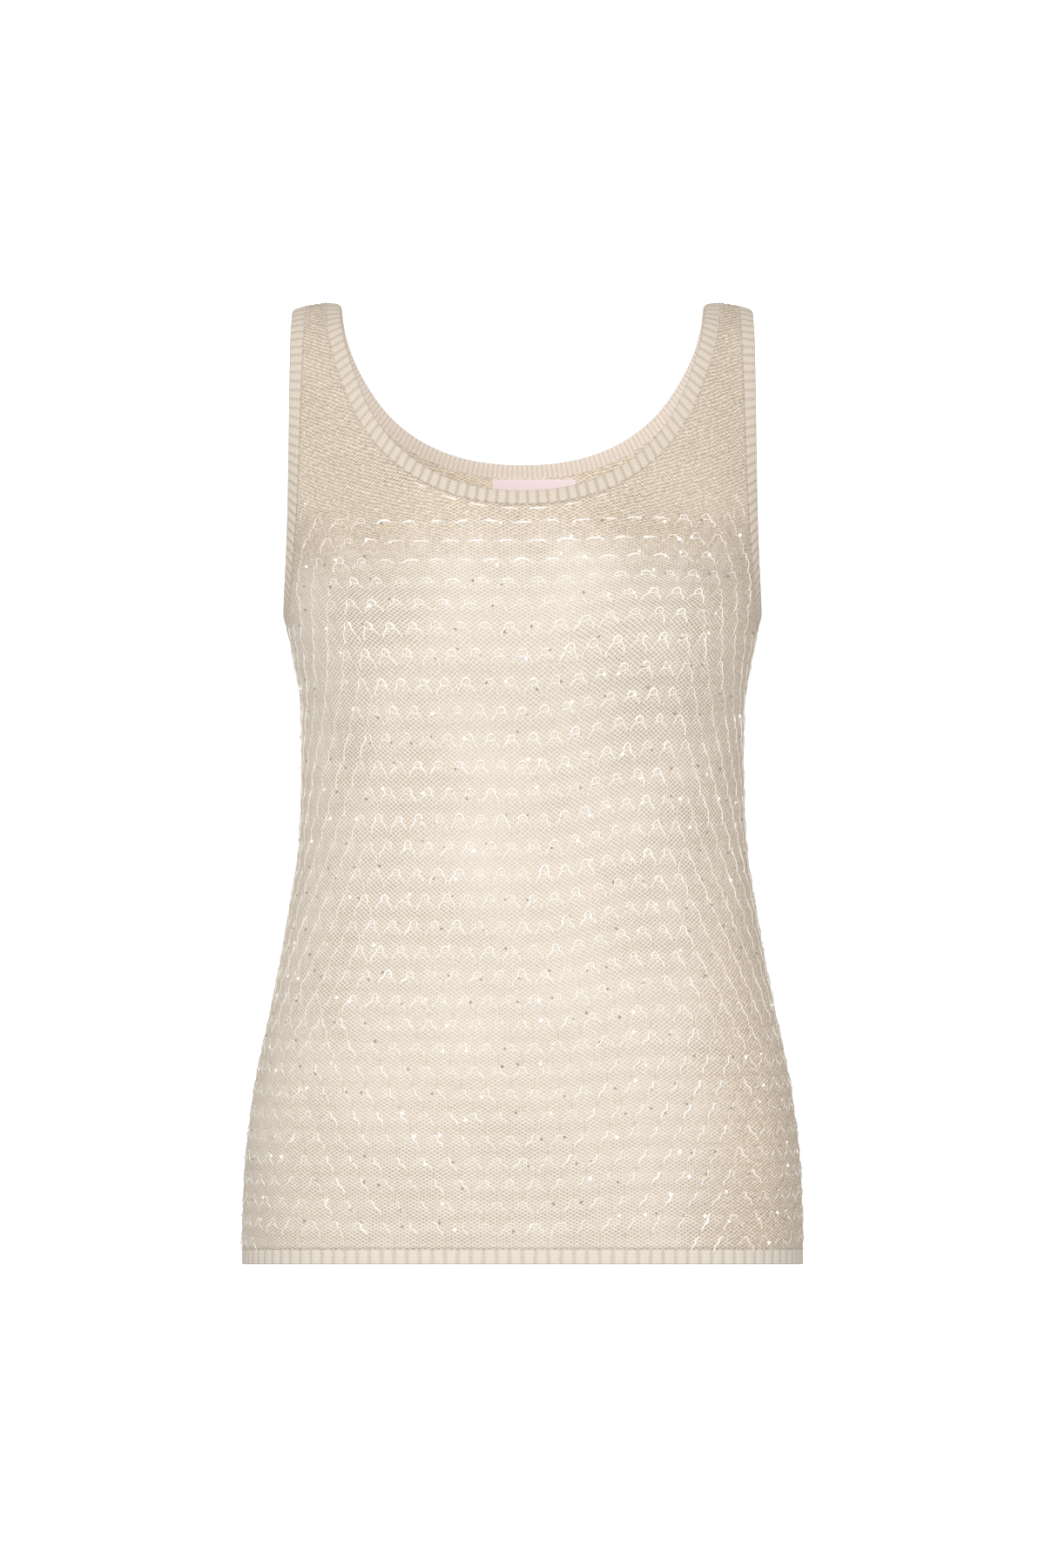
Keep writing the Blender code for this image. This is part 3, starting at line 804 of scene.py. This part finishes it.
def new_material(name, **constants):
    """A material and its Principled shader's sockets, on which the plain values are set."""
    material = bpy.data.materials.new(name)
    material.use_nodes = True
    shader = material.node_tree.nodes["Principled BSDF"].inputs
    for label, value in constants.items():
        shader[label.replace("_", " ")].default_value = value
    return material, material.node_tree, shader


def object_place(tree):
    return Value(add_node(tree, "ShaderNodeTexCoord").outputs["Object"])


def cell_place(tree):
    return Value(add_node(tree, "ShaderNodeUVMap", uv_map="cells").outputs["UV"])


def place_group(tree, group, vector, values):
    """A group in a material: its first input reads the vector, and the others are given by name."""
    node = add_node(tree, "ShaderNodeGroup", {0: vector, **values}, node_tree=group)
    return {socket.name: Value(socket) for socket in node.outputs}


def paint(shader, colour, glow=0.0):
    """The base colour, and a glow in the same colours."""
    feed(shader["Base Color"], colour)
    if glow:
        feed(shader["Emission Color"], colour)
        feed(shader["Emission Strength"], glow)


def bump(shader, height, distance):
    node = add_node(height.tree, "ShaderNodeBump", {"Height": height, "Distance": distance})
    feed(shader["Normal"], Value(node.outputs["Normal"]))


def knit_material(name, shade, hole, glow=0.0):
    """Matt beige yarn in an openwork mesh. The brown in the holes is painted shade, as of the shaded inside
    seen through them. The knit is coarse above the bust, lower at the armholes than in the middle, and there
    the yarn takes the darker shade colour, partly the yarn's own tone and partly painted shade on the
    straps. The holes are wide open beside the middle and at the hem, and less at the side seams, and at the
    hips the cloth is pinched more. The sides are painted darker and warmer, as shade where the cloth turns
    away, more on the +X side. Distances are in metres."""
    material, tree, shader = new_material(name, Sheen_Weight=0.03, Sheen_Roughness=0.5,
                                          Specular_IOR_Level=0.25)
    place_in = object_place(tree)
    x, _, z = axes(place_in)
    aside, down = x.maths("ABSOLUTE"), 0 - z
    patch = noise(place_in, 22.0)
    level = aside * COARSE_SLANT + COARSE_DOWN_TO - down
    coarse = (level * COARSE_EDGE + (patch - 0.5) * 1.2 + 0.5).clamp()
    hips, hem = ramp(down, 0.38, 0.1), ramp(down, 0.49, 1 / 6)
    beside, seam = ramp(aside, 0.03, 1 / 7), ramp(aside, 0.105, 0.025)
    wide = beside * (1 - hips.maths("MAXIMUM", seam) * 0.8)
    # Painted shade: towards the side seams the yarn is darker and warmer, more on the +X side, as where the
    # cloth turns away from the light. It goes in with the coarse mask, so the sides also take the coarse
    # lumps.
    turned = ramp(aside, 0.095, 1 / 22) * (x * 2.5 + 0.6)
    # How open the holes are, and so how much of their painted brown shade shows.
    widest = wide.maths("MAXIMUM", hem).maths("MAXIMUM", coarse * 0.5)
    opened = (widest + 1.1) * (patch + 0.5) * OPENNESS
    made = place_group(tree, KNIT_MESH, cell_place(tree), {
        "Holes Across": HOLES_PER_CELL, "Holes Down": HOLES_PER_ROW, "Hole Size": HOLE_SIZE,
        "Yarn": (0.93, 0.825, 0.715, 1), "Yarn Light": (0.96, 0.89, 0.81, 1), "Yarn Shade": shade,
        "Hole": hole, "Coarse And Side Shade": coarse.maths("MAXIMUM", turned), "Open": opened, "Pinch": hips + 0.9,
    })
    paint(shader, made["Color"], glow)
    feed(shader["Roughness"], made["Roughness"])
    bump(shader, made["Height"], KNIT_BUMP)
    return material


def rib_material(name, stitches, depth, low_depth, yarn, furrow_shade, pace=1.0, glow=0.0):
    """Matt ribbed yarn, with painted shade in the furrows. The furrows show less on the straps than below
    the neck, and the pace is the number of the pattern's ribs to one of the mesh."""
    material, tree, shader = new_material(name, Roughness=0.85, Sheen_Weight=0.03, Specular_IOR_Level=0.25)
    paced = add_node(tree, "ShaderNodeMapping", {"Vector": cell_place(tree), "Scale": (pace, 1, 1)})
    below = ramp(0 - axes(object_place(tree))[2], 0.07, 0.04)
    made = place_group(tree, RIB, Value(paced.outputs[0]), {
        "Stitches": stitches, "Yarn": yarn, "Furrow Shade": furrow_shade, "Depth": below * (low_depth - depth) + depth,
    })
    paint(shader, made["Color"], glow)
    bump(shader, made["Height"], RIB_BUMP)
    return material


def speckled_material(name, scale, detail, colours, roughness=None, glow=0.0, start=0.0, sharpness=1.0,
                      **constants):
    """Two colours mixed by noise, from a start and so sharply. If a pair is given for the roughness, it
    is the noise times the first number plus the second."""
    material, tree, shader = new_material(name, **constants)
    speckle = noise(object_place(tree), scale, detail)
    paint(shader, ((speckle - start) * sharpness).clamp().mix(*colours), glow)
    if roughness:
        feed(shader["Roughness"], speckle * roughness[0] + roughness[1])
    return material


def satin_material():
    """Woven satin: long floats across, in an offset brick pattern, with a soft sheen."""
    material, tree, shader = new_material("pale_rose_satin", Roughness=0.42, Sheen_Weight=0.3,
                                          Specular_IOR_Level=0.5)
    weave = add_node(tree, "ShaderNodeTexBrick", {
        "Vector": cell_place(tree), "Color1": (0.96, 0.85, 0.87, 1), "Color2": (0.92, 0.80, 0.82, 1),
        "Mortar": (0.80, 0.64, 0.67, 1), "Scale": 1.0, "Mortar Size": 0.05, "Brick Width": 1.4,
        "Row Height": 0.35,
    }, offset=0.4)
    # The label has a weak painted glow, which brightens it inside the back neck.
    paint(shader, Value(weave.outputs["Color"]), LABEL_GLOW)
    bump(shader, 1 - Value(weave.outputs["Fac"]), SATIN_BUMP)
    return material


# ---------------------------------------------------------------- panels
def knit_panel(sheet, outside, inside):
    """A panel's grid lifted by the honeycomb's domes, which fade out under the bands, as a closed wall.
    On the chest the rows for the stitches' pattern fall to the armholes."""
    turn, run = panel_grid(sheet)
    across, down = cells_at(turn, run, sheet)
    patterned = rise(drop_of_run(run), DOME_TOP_DROP, DOME_TOP_LENGTH)
    from_end, from_side = (np.minimum(np.arange(n), np.arange(n)[::-1]) for n in turn.shape)
    below_arm = run - np.interp(np.abs(turn), *(line[::-1] for line in armhole_rows(sheet)), left=0)
    clear = rise(np.minimum(from_side, from_end[:, None]), 0, 2) * rise(below_arm, 0, DOME_CLEARANCE)
    lift = dome(across, down) * patterned * clear
    walls = [skin(turn, run, sheet, lift + side * PANEL_WALL / 2)[0] for side in (1, -1)]
    vertices, faces, quads = closed_wall(*walls)
    vertices[:, 1] += np.tile((sheet * (np.abs(turn) > 1 - 1e-9) * SIDE_GAP).ravel(), 2)
    aside, drop = np.abs(walls[1][..., 0]), -walls[1][..., 2]
    slanted = down - SLANT * np.maximum(aside - SLANT_FROM, 0) * fade(drop, SLANT_TOP, SLANT_LENGTH)
    uv = np.tile(np.stack((across, slanted), -1).reshape(-1, 2), (2, 1))
    number = np.arange(len(faces))
    piece = make_piece(SHEET_NAMES[sheet] + "_knit", vertices, faces, [outside, inside], "knit", uv,
                       kinds=number >= quads, flat=number >= 2 * quads)
    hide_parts(SHEET_NAMES[sheet] + "_panel")
    return piece


def inside_panel(turn, run, sheet, margin):
    """Whether points lie on a panel, at least a margin from its edges. Distances are measured level or
    straight up to the edges' lines."""
    drop = drop_of_run(run)
    x = form(turn, run, sheet)[..., 0]
    neck_turn, neck_run = shifted(*neck_opening(sheet), sheet, -NECKBAND_WIDTH - margin)
    neck_x = form(neck_turn, neck_run, sheet)[:, 0]
    below_neck = drop > np.interp(x, neck_x, drop_of_run(neck_run), left=0, right=0)
    arm_turn, arm_run = shifted(*armhole_opening(), sheet, ARMBAND_WIDTH + margin)
    clear_of_arm = np.abs(turn) < np.interp(drop, drop_of_run(arm_run)[::-1], arm_turn[::-1], right=1.0)
    above_hem = run < hem_run(turn, sheet, HEM_BAND_HEIGHT + margin * 0.7)
    return below_neck & clear_of_arm & above_hem & (np.abs(turn) < 1)


def repeat_centres(sheet):
    """Cell coordinates of every repeat of the thread that lies on a panel, clear of its edges. Above the
    bust they go on only beside the armholes."""
    across, down = np.meshgrid(np.arange(-CELLS_TO_SIDE, CELLS_TO_SIDE + 1),
                               np.arange(FIRST_ROW, LAST_ROW + 1))
    across = (across + 0.5 * (down % 2)).ravel().astype(float)
    down = down.ravel().astype(float)
    turn, run = at_cells(across, down, sheet)
    top = np.where(np.abs(across) > ARMHOLE_CELLS, ARMHOLE_TOP_DROP, THREAD_TOP_DROP)
    kept = inside_panel(turn, run, sheet, THREAD_MARGIN) & (drop_of_run(run) > top)
    return across[kept], down[kept]


def ring_width(across, down):
    """The rings are roundest on the chest, draw in to points towards the sides and the hips, and open
    again to flat arches in the last rows above the hem."""
    to_side = np.clip(np.abs(across) / CELLS_TO_SIDE, 0, 1)
    to_hips = np.clip((down - 14) / 8, 0, 1)
    arches = np.clip((down - 27) / 3, 0, 1) * (1 - to_side)
    return (1 - 0.35 * to_side) * (1 - 0.4 * to_hips) + 0.7 * arches


def leg_lean(x, drop):
    """From -1, where the thread's left legs are the strong ones, to 1, where the right ones are."""
    turned = rise(drop, HIP_DROP, HIP_LENGTH) * fade(np.abs(x), LEAN_SIDE, LEAN_SIDE_WIDTH)
    return np.tanh(x / LEAN_WIDTH) * (1 - 2 * turned)


def threads_at(across, down, a, up, height, radius, sheet):
    """Tubes about some cells' centres: a cells across and up rows up, at a height on the cloth."""
    u = np.clip(across + a, -CELLS_TO_SIDE, CELLS_TO_SIDE)
    v = down - up
    turn, run = at_cells(u, v, sheet)
    points, normals = skin(turn, run, sheet, PANEL_WALL / 2 + dome(u, v) + height)
    return tubes(points, normals, np.broadcast_to(radius, u.shape))


def neckline_dashes():
    """Lens-shaped dashes on a line parallel to the neckband, each a tube whose radius follows a half
    ellipse along it."""
    turn, run = neck_line(FRONT, NECKBAND_WIDTH + DASH_BELOW_BAND, FINE)
    points = form(turn, run, FRONT)
    length = distance_along(points)
    middle = np.interp(NECKLINE_DASHES[:, 0], points[:, 0], length)
    s = np.linspace(-1, 1, DASH_POINTS)
    at = middle[:, None] + s * NECKLINE_DASHES[:, 1:2]
    paths, normals = skin(np.interp(at, length, turn), np.interp(at, length, run), FRONT,
                          PANEL_WALL / 2 + DASH_HEIGHT)
    return tubes(paths, normals, NECKLINE_DASHES[:, 2:] * np.sqrt(1.02 - s**2))


def shiny_thread(sheet, material):
    """Every repeat of the thread on a panel. Each is the same shape with small differences: its ring
    narrows by ring_width(), the leg on its weak side is thin and sinks into the cloth, just below the
    neckline, where the cloth is pulled wide, it is a flat dash, at the hips only its strong half shows,
    and its points stray a little. A thin bar closes each ring above the hips."""
    across, down = repeat_centres(sheet)
    centre = form(*at_cells(across, down, sheet), sheet)
    x, drop, across, down = (v[:, None] for v in (centre[:, 0], -centre[:, 2], across, down))
    aside, count = np.abs(across), len(across)
    t = np.linspace(-1, 1, THREAD_POINTS)
    half_across, shape_up, shape_height = (smooth(THREAD_HALF, 1 - np.abs(t), k) for k in (1, 2, 3))
    ring = np.clip(1 - np.abs(t) / 0.62, 0, 1) ** 0.3
    leg = rise(np.abs(t), 0.3, 0.25)
    width = ring_width(across, down)
    flat = fade(down, 1.6, 2.2) * fade(aside, 4.6, 1.6)
    hips = rise(drop, HIP_DROP, HIP_LENGTH)
    long = rise(aside, LONG_FROM, LONG_LENGTH) * (1 - 0.75 * hips)
    wide = (1 - ring + ring * width) * (1 + 0.15 * flat * ring) * (1 + 0.25 * long * leg)
    reach = np.maximum(-0.06 - shape_up, 0) * long * LONG_LEG
    blend = np.maximum(0, 1 - np.abs(t[:, None] - np.linspace(-1, 1, STRAY_SPOTS)) / 0.5).T
    stray = random.normal(0, THREAD_STRAY, (3, count, STRAY_SPOTS)) @ blend
    a = -np.sign(t) * half_across * wide + stray[0]
    up = (shape_up - reach) * (1 - 0.8 * flat) + stray[1] * 1.2

    uneven = random.uniform(0.75, 1.2, (count, 1)) * (1 + 8 * stray[2])
    gain = np.where((drop > HIP_DROP) | (aside > ARMHOLE_CELLS), 0.8, 0.35) * (1 + 0.25 * hips)
    weak = leg + (1 - leg) * np.maximum(long, hips)
    strength = 1 + gain * leg_lean(x, drop) * np.sign(t) * weak
    strength = np.clip(strength, 0.25 - 0.1 * hips, 1.3 + 0.25 * hips)
    faint = 0.35 * fade(down, 1.0, 4.0) * fade(aside, ARMHOLE_CELLS, 1.5)
    strength = strength * (1 - faint * (1 - flat))
    thickness = (0.72 + 0.28 * ring) * strength * (1 + flat * (ring - 0.6))
    beaded = hips * rise(aside, BEADS_FROM, 2)
    beads = sum(np.exp(-(((np.abs(t) - spot) / BEAD_LENGTH) ** 2)) for spot in (0, BEAD_PLACE))
    thickness = thickness * (1 - beaded) + (BEAD_THREAD + beads) * beaded
    thinned = (1 - SIDE_THINNING * long) * (1 - HIP_THINNING * hips)
    radius = THREAD_RADIUS * thickness * np.clip(uneven, 0.4, 1.6) * thinned
    radius[:, [0, -1]] *= 0.5
    height = 0.8 * shape_height - 0.4 * np.maximum(1 - strength, 0) - 0.3 * flat
    parts = [threads_at(across, down, a, up, height, radius, sheet)]

    s = np.linspace(0, 1, BAR_POINTS)
    bar_across, bar_up, bar_height = (np.interp(s, BAR[:, 0], BAR[:, k]) for k in (1, 2, 3))
    barred = np.maximum(np.maximum(flat, long), hips)[:, 0] < 0.4
    parts.append(threads_at(across[barred], down[barred], bar_across * width[barred], bar_up, bar_height,
                            BAR_RADIUS, sheet))
    if sheet == FRONT:
        parts.append(neckline_dashes())
    return make_piece(SHEET_NAMES[sheet] + "_thread", *joined(parts), [material], "knit")


def sequins(sheet, materials):
    """Sequins by some corners of the rings: each a small flat ring with a hole, tipped a little from the
    cloth. Its section is a thin rectangle turned about its own middle."""
    across, down = repeat_centres(sheet)
    chosen = random.random(len(across)) < SEQUIN_SHARE
    across, down = across[chosen], down[chosen]
    count = len(across)
    side = random.choice((-1, 1), count)
    u = np.clip(across + side * random.uniform(0.12, 0.3, count), -CELLS_TO_SIDE, CELLS_TO_SIDE)
    v = down - random.uniform(-0.2, 0.3, count)
    turn, run = at_cells(u, v, sheet)
    middle, normal = skin(turn, run, sheet, PANEL_WALL / 2 + dome(u, v) + SEQUIN_HEIGHT)
    normal = normal + random.normal(0, SEQUIN_TIP, (count, 3))
    normal /= np.linalg.norm(normal, axis=1, keepdims=True)
    first = np.cross(normal, (0.0, 0.0, 1.0))
    first /= np.linalg.norm(first, axis=1, keepdims=True)
    second = np.cross(normal, first)
    # Painted reflection: these sequins take the darker material, as if they mirrored dark surroundings.
    dark_reflection = random.random(count) < DARK_REFLECTION_SHARE
    size = SEQUIN_RADIUS * random.uniform(0.75, 1.1, count) * np.where(dark_reflection, DARK_REFLECTION_SIZE, 1.0)
    angle = 2 * np.pi * np.arange(SEQUIN_SIDES)[:, None] / SEQUIN_SIDES
    spoke = np.cos(angle) * first[:, None] + np.sin(angle) * second[:, None]
    section = SEQUIN_SECTION[:, :1] * spoke[:, :, None] + SEQUIN_SECTION[:, 1:] * normal[:, None, None]
    points = middle[:, None, None] + size[:, None, None, None] * section
    corners = len(SEQUIN_SECTION)
    one = grid_faces(SEQUIN_SIDES, corners, ring=True, hoop=True)
    faces = (np.arange(count)[:, None, None] * SEQUIN_SIDES * corners + one).reshape(-1, 4)
    return make_piece(SHEET_NAMES[sheet] + "_sequins", points.reshape(-1, 3), faces, materials, "knit",
                      kinds=np.repeat(dark_reflection, len(one)))


# ---------------------------------------------------------------- bands and stitches
def ribbed_band(name, line, width, ribs, depth, materials, node, mirrored=1):
    """A ring of ribs on both sheets, between a line at the opening and one a width further. Its section
    is a superellipse, round at the opening and square where it joins the panel, and there it thins to
    the panel's own wall. A rib rises as the squared sine along it. The second material is on the side
    that faces the wearer."""
    angle = 2 * np.pi * np.arange(BAND_PROFILE_POINTS) / BAND_PROFILE_POINTS
    c, s = np.cos(angle), np.sin(angle)
    across = 0.5 - 0.5 * np.sign(c) * np.abs(c) ** 0.45
    level = np.sign(s) * np.abs(s) ** np.where(c > 0, 0.6, 0.3)
    halves = []
    for sheet in (FRONT, BACK):
        count = ribs[sheet] * COLUMNS_PER_RIB
        near, far = line(sheet, 0.0, count), line(sheet, width, count)
        turn, run = (n[:, None] * (1 - across) + f[:, None] * across for n, f in zip(near, far))
        rib = np.sin(np.pi * np.arange(count + 1)[:, None] / COLUMNS_PER_RIB) ** 2
        half = BAND_WALL / 2 - depth + depth * rib
        height = level * (half + (JOIN_WALL - half) * rise(across, 0.5, 0.5))
        halves.append(skin(turn, run, sheet, height)[0])
    points = np.concatenate((halves[0], halves[1][::-1][1:-1])) * (mirrored, 1, 1)
    columns = len(points)
    faces = grid_faces(columns, BAND_PROFILE_POINTS, ring=True, hoop=True)
    along = np.arange(columns)[:, None] / COLUMNS_PER_RIB
    uv = np.stack(np.broadcast_arrays(along, across), -1).reshape(-1, 2)
    side, middle = np.arange(BAND_PROFILE_POINTS), BAND_PROFILE_POINTS // 2
    join = (side == middle) | (side == middle - 1)
    piece = make_piece(name, points.reshape(-1, 3), faces, materials, "rib", uv,
                       kinds=np.tile(side >= middle, columns), flat=np.tile(join, columns))
    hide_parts(node)
    return piece


def chain_along(turn, run, sheet, mirrored=1, wall=2 * JOIN_WALL):
    """Paths and normals of V stitches along a seam's line on one sheet."""
    length = distance_along(form(turn, run, sheet))
    count = int(length[-1] / STITCH_PITCH)
    middles = (np.arange(count)[:, None] + 0.5) * length[-1] / count
    at = np.clip(middles + STITCH[:, 0] * STITCH_PITCH, 0, length[-1])

    def seam_skin(where, height):
        return skin(np.interp(where, length, turn), np.interp(where, length, run), sheet, height)

    base, normal = seam_skin(at, wall / 2 + STITCH[:, 2])
    aside = np.cross(normal, seam_skin(at + 0.2, 0.0)[0] - seam_skin(at - 0.2, 0.0)[0])
    aside /= np.linalg.norm(aside, axis=-1, keepdims=True)
    paths = base + aside * (STITCH[:, 1:2] * STITCH_REACH)
    flip = np.array((mirrored, 1, 1))
    return paths * flip, normal * flip


def seam_stitches(material):
    """Linking stitches where the bands meet the panels, down the side seams and over the shoulders."""
    chains = []
    side_turn = np.ones(FINE)
    side_run = np.linspace(run_of_drop(ARMHOLE_DROP + ARMBAND_WIDTH),
                           hem_run(side_turn, FRONT, HEM_BAND_HEIGHT)[0], FINE)
    strap_turn = place(np.linspace(NECK_HALF_WIDTH + NECK_FLARE + NECKBAND_WIDTH,
                                   ARMHOLE_HALF_WIDTH - ARMBAND_WIDTH, 20), np.zeros(20))[0]
    for sheet in (FRONT, BACK):
        chains.append(chain_along(*neck_line(sheet, NECKBAND_WIDTH, FINE), sheet))
        chains.append(chain_along(*hem_line(sheet, HEM_BAND_HEIGHT, FINE), sheet))
        for mirrored in (1, -1):
            chains.append(chain_along(*armhole_line(sheet, ARMBAND_WIDTH, FINE), sheet, mirrored))
    for mirrored in (1, -1):
        chains.append(chain_along(side_turn, side_run, FRONT, mirrored, PANEL_WALL))
        chains.append(chain_along(strap_turn, np.full(20, RIDGE_GAP), FRONT, mirrored, PANEL_WALL))
    paths, normals = (np.concatenate([chain[k] for chain in chains]) for k in (0, 1))
    stitches = tubes(paths, normals, np.full(paths.shape[:2], STITCH_RADIUS))
    return make_piece("linking_stitches", *stitches, [material], "rib")


# ---------------------------------------------------------------- label
def satin_label(material):
    """A small satin label inside the back neck: the back panel's own points below the neckband, moved
    inwards, with ends that are folded under."""
    share = np.linspace(-1, 1, LABEL_COLUMNS + 1)
    top = NECK_DROP[BACK] + NECKBAND_WIDTH + LABEL_TOP_GAP
    drop = top + np.linspace(0, LABEL_HEIGHT, LABEL_ROWS + 1)[:, None]
    x, drop = np.broadcast_arrays(LABEL_OFF_CENTRE + share * LABEL_WIDTH / 2, drop)
    turn, run = place(x, drop)
    curl = 0.5 * np.abs(share) ** 8
    points, _ = skin(turn, run, BACK, -(PANEL_WALL / 2 + LABEL_WALL / 2 + LABEL_CLEARANCE + curl))
    uv = np.stack((x, drop), -1).reshape(-1, 2)
    piece = make_piece("satin_label", points.reshape(-1, 3), grid_faces(*x.shape), [material], "label", uv,
                       closed=False)
    solidify = piece.modifiers.new("ribbon thickness", "SOLIDIFY")
    solidify.thickness = LABEL_WALL * TO_METRES
    solidify.offset = 0.0
    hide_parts("neck_label")
    return piece


# ---------------------------------------------------------------- floor and light
FLOOR_LEVEL, FLOOR_RADIUS, FLOOR_SIDES = -0.83, 6.0, 96
SWEEP_RADIUS, WALL_HEIGHT = 2.0, 7.0


def pale_floor():
    """A round studio floor that curves up all round: a profile of a flat stretch, a quarter circle and
    a wall, turned about the vertical."""
    quarter = np.linspace(0, np.pi / 2, 13)
    out = FLOOR_RADIUS + SWEEP_RADIUS * np.sin(quarter)
    out = np.concatenate(([0.0], out, out[-1:]))[:, None]
    up = np.concatenate(([0.0], SWEEP_RADIUS * (1 - np.cos(quarter)), [WALL_HEIGHT]))[:, None] + FLOOR_LEVEL
    angle = np.linspace(0, 2 * np.pi, FLOOR_SIDES, endpoint=False)
    points = np.stack(np.broadcast_arrays(out * np.cos(angle), out * np.sin(angle), up), -1)
    faces = grid_faces(len(out), FLOOR_SIDES, ring=True)[:, ::-1]
    mesh = bpy.data.meshes.new("pale_floor")
    mesh.from_pydata(points.reshape(-1, 3).tolist(), [], faces.tolist())
    mesh.shade_smooth()
    mesh.materials.append(new_material("pale_floor", Base_Color=(0.9, 0.9, 0.9, 1), Roughness=0.9,
                                       Emission_Color=(1, 1, 1, 1), Emission_Strength=0.75)[0])
    floor = add_object("pale_floor", mesh)
    for sight in ("visible_diffuse", "visible_glossy", "visible_transmission", "visible_shadow"):
        setattr(floor, sight, False)


def soft_light(name, location, size, power):
    """A square soft box that faces the middle of the garment."""
    data = bpy.data.lights.new(name, "AREA")
    data.shape = "SQUARE"
    data.size = size
    data.energy = power
    light = add_object(name, data)
    light.location = location
    towards = Vector((0, 0, CAMERA_HEIGHT)) - light.location
    light.rotation_euler = towards.to_track_quat("-Z", "Y").to_euler()
    light.visible_camera = False


def studio_world(strength):
    world = bpy.data.worlds.new("studio")
    world.use_nodes = True
    background = world.node_tree.nodes["Background"].inputs
    background["Color"].default_value = (1, 1, 1, 1)
    background["Strength"].default_value = strength
    bpy.context.scene.world = world


# ---------------------------------------------------------------- the garment
def make_top():
    # Each knit's first colour is the darker yarn of the coarse knit, partly painted shade, and of the sides,
    # painted shade; the second is the painted brown shade in the holes. The inside is a lighter copy with a
    # painted glow.
    knit = knit_material("beige_openwork_knit", (0.855, 0.70, 0.53, 1), (0.60, 0.475, 0.335, 1))
    inside = knit_material("beige_knit_inside", (0.90, 0.78, 0.62, 1), (0.62, 0.51, 0.37, 1), INSIDE_GLOW)
    # The white thread and the pale sequins have a painted glint as a weak glow; the darker sequins are the
    # same sequins with a painted dark reflection.
    shiny = speckled_material(
        "white_shiny_thread", 420.0, 1.0, ((0.94, 0.875, 0.79, 1), (1.0, 0.97, 0.92, 1)), (0.3, 0.3),
        THREAD_GLOW, 0.4, 5.0, Specular_IOR_Level=0.6, Coat_Weight=0.3, Coat_Roughness=0.25)
    pearly, dark_reflection = (
        speckled_material(name, 160.0, 0.0, colours, (0.6, 0.0), glow, Coat_Weight=0.5, Coat_Roughness=0.12)
        for name, colours, glow in (
            ("pearly_sequin", ((0.93, 0.9207, 0.9021, 1), (1.0, 0.99, 0.97, 1)), SEQUIN_GLOW),
            ("dark_reflection_sequin", ((0.35, 0.308, 0.259, 1), (0.50, 0.44, 0.37, 1)), 0.0),
        ))
    linking = speckled_material("beige_linking_yarn", 700.0, 2.0, (
        (0.80, 0.71, 0.60, 1), (0.92, 0.85, 0.75, 1)), Roughness=0.85, Sheen_Weight=0.03)
    # The second colour of each rib is the painted shade in its furrows; the inside rib is a lighter copy
    # with a painted glow.
    neck_rib = rib_material("beige_neck_rib", 5.0, 0.42, 0.58, (0.82, 0.73, 0.62, 1), (0.54, 0.43, 0.31, 1))
    hem_rib = rib_material("beige_hem_rib", 5.0, 0.38, 0.38, (0.86, 0.78, 0.69, 1), (0.56, 0.45, 0.33, 1))
    rib_inside = rib_material("beige_rib_inside", 2.0, 0.3, 0.3, (0.86, 0.78, 0.71, 1),
                              (0.68, 0.56, 0.44, 1), 2.0, INSIDE_GLOW)
    panels, trims = {}, {}
    for sheet in (FRONT, BACK):
        panels[sheet] = knit_panel(sheet, knit, inside)
        trims[sheet] = [shiny_thread(sheet, shiny), sequins(sheet, [pearly, dark_reflection])]
    neck = ribbed_band("neck_rib", neck_line, NECKBAND_WIDTH, NECK_RIBS, 0.22, [neck_rib, rib_inside],
                       "neckband")
    hem = ribbed_band("hem_rib", hem_line, HEM_BAND_HEIGHT, HEM_RIBS, 0.25, [hem_rib, rib_inside],
                      "hem_band")
    arms = [
        ribbed_band("arm_rib_" + side, armhole_line, ARMBAND_WIDTH, ARM_RIBS, 0.22,
                    [neck_rib, rib_inside], "armband_" + side, mirrored)
        for side, mirrored in (("right", 1), ("left", -1))
    ]
    stitches = seam_stitches(linking)
    label = satin_label(satin_material())


make_top()
pale_floor()
soft_light("key", (-0.9, -3.2, 0.6), 2.0, 50)
soft_light("fill", (1.6, -3.0, -0.2), 2.0, 19)
studio_world(0.53)
bpy.context.scene.view_settings.view_transform = "Standard"

bpy.context.view_layer.update()
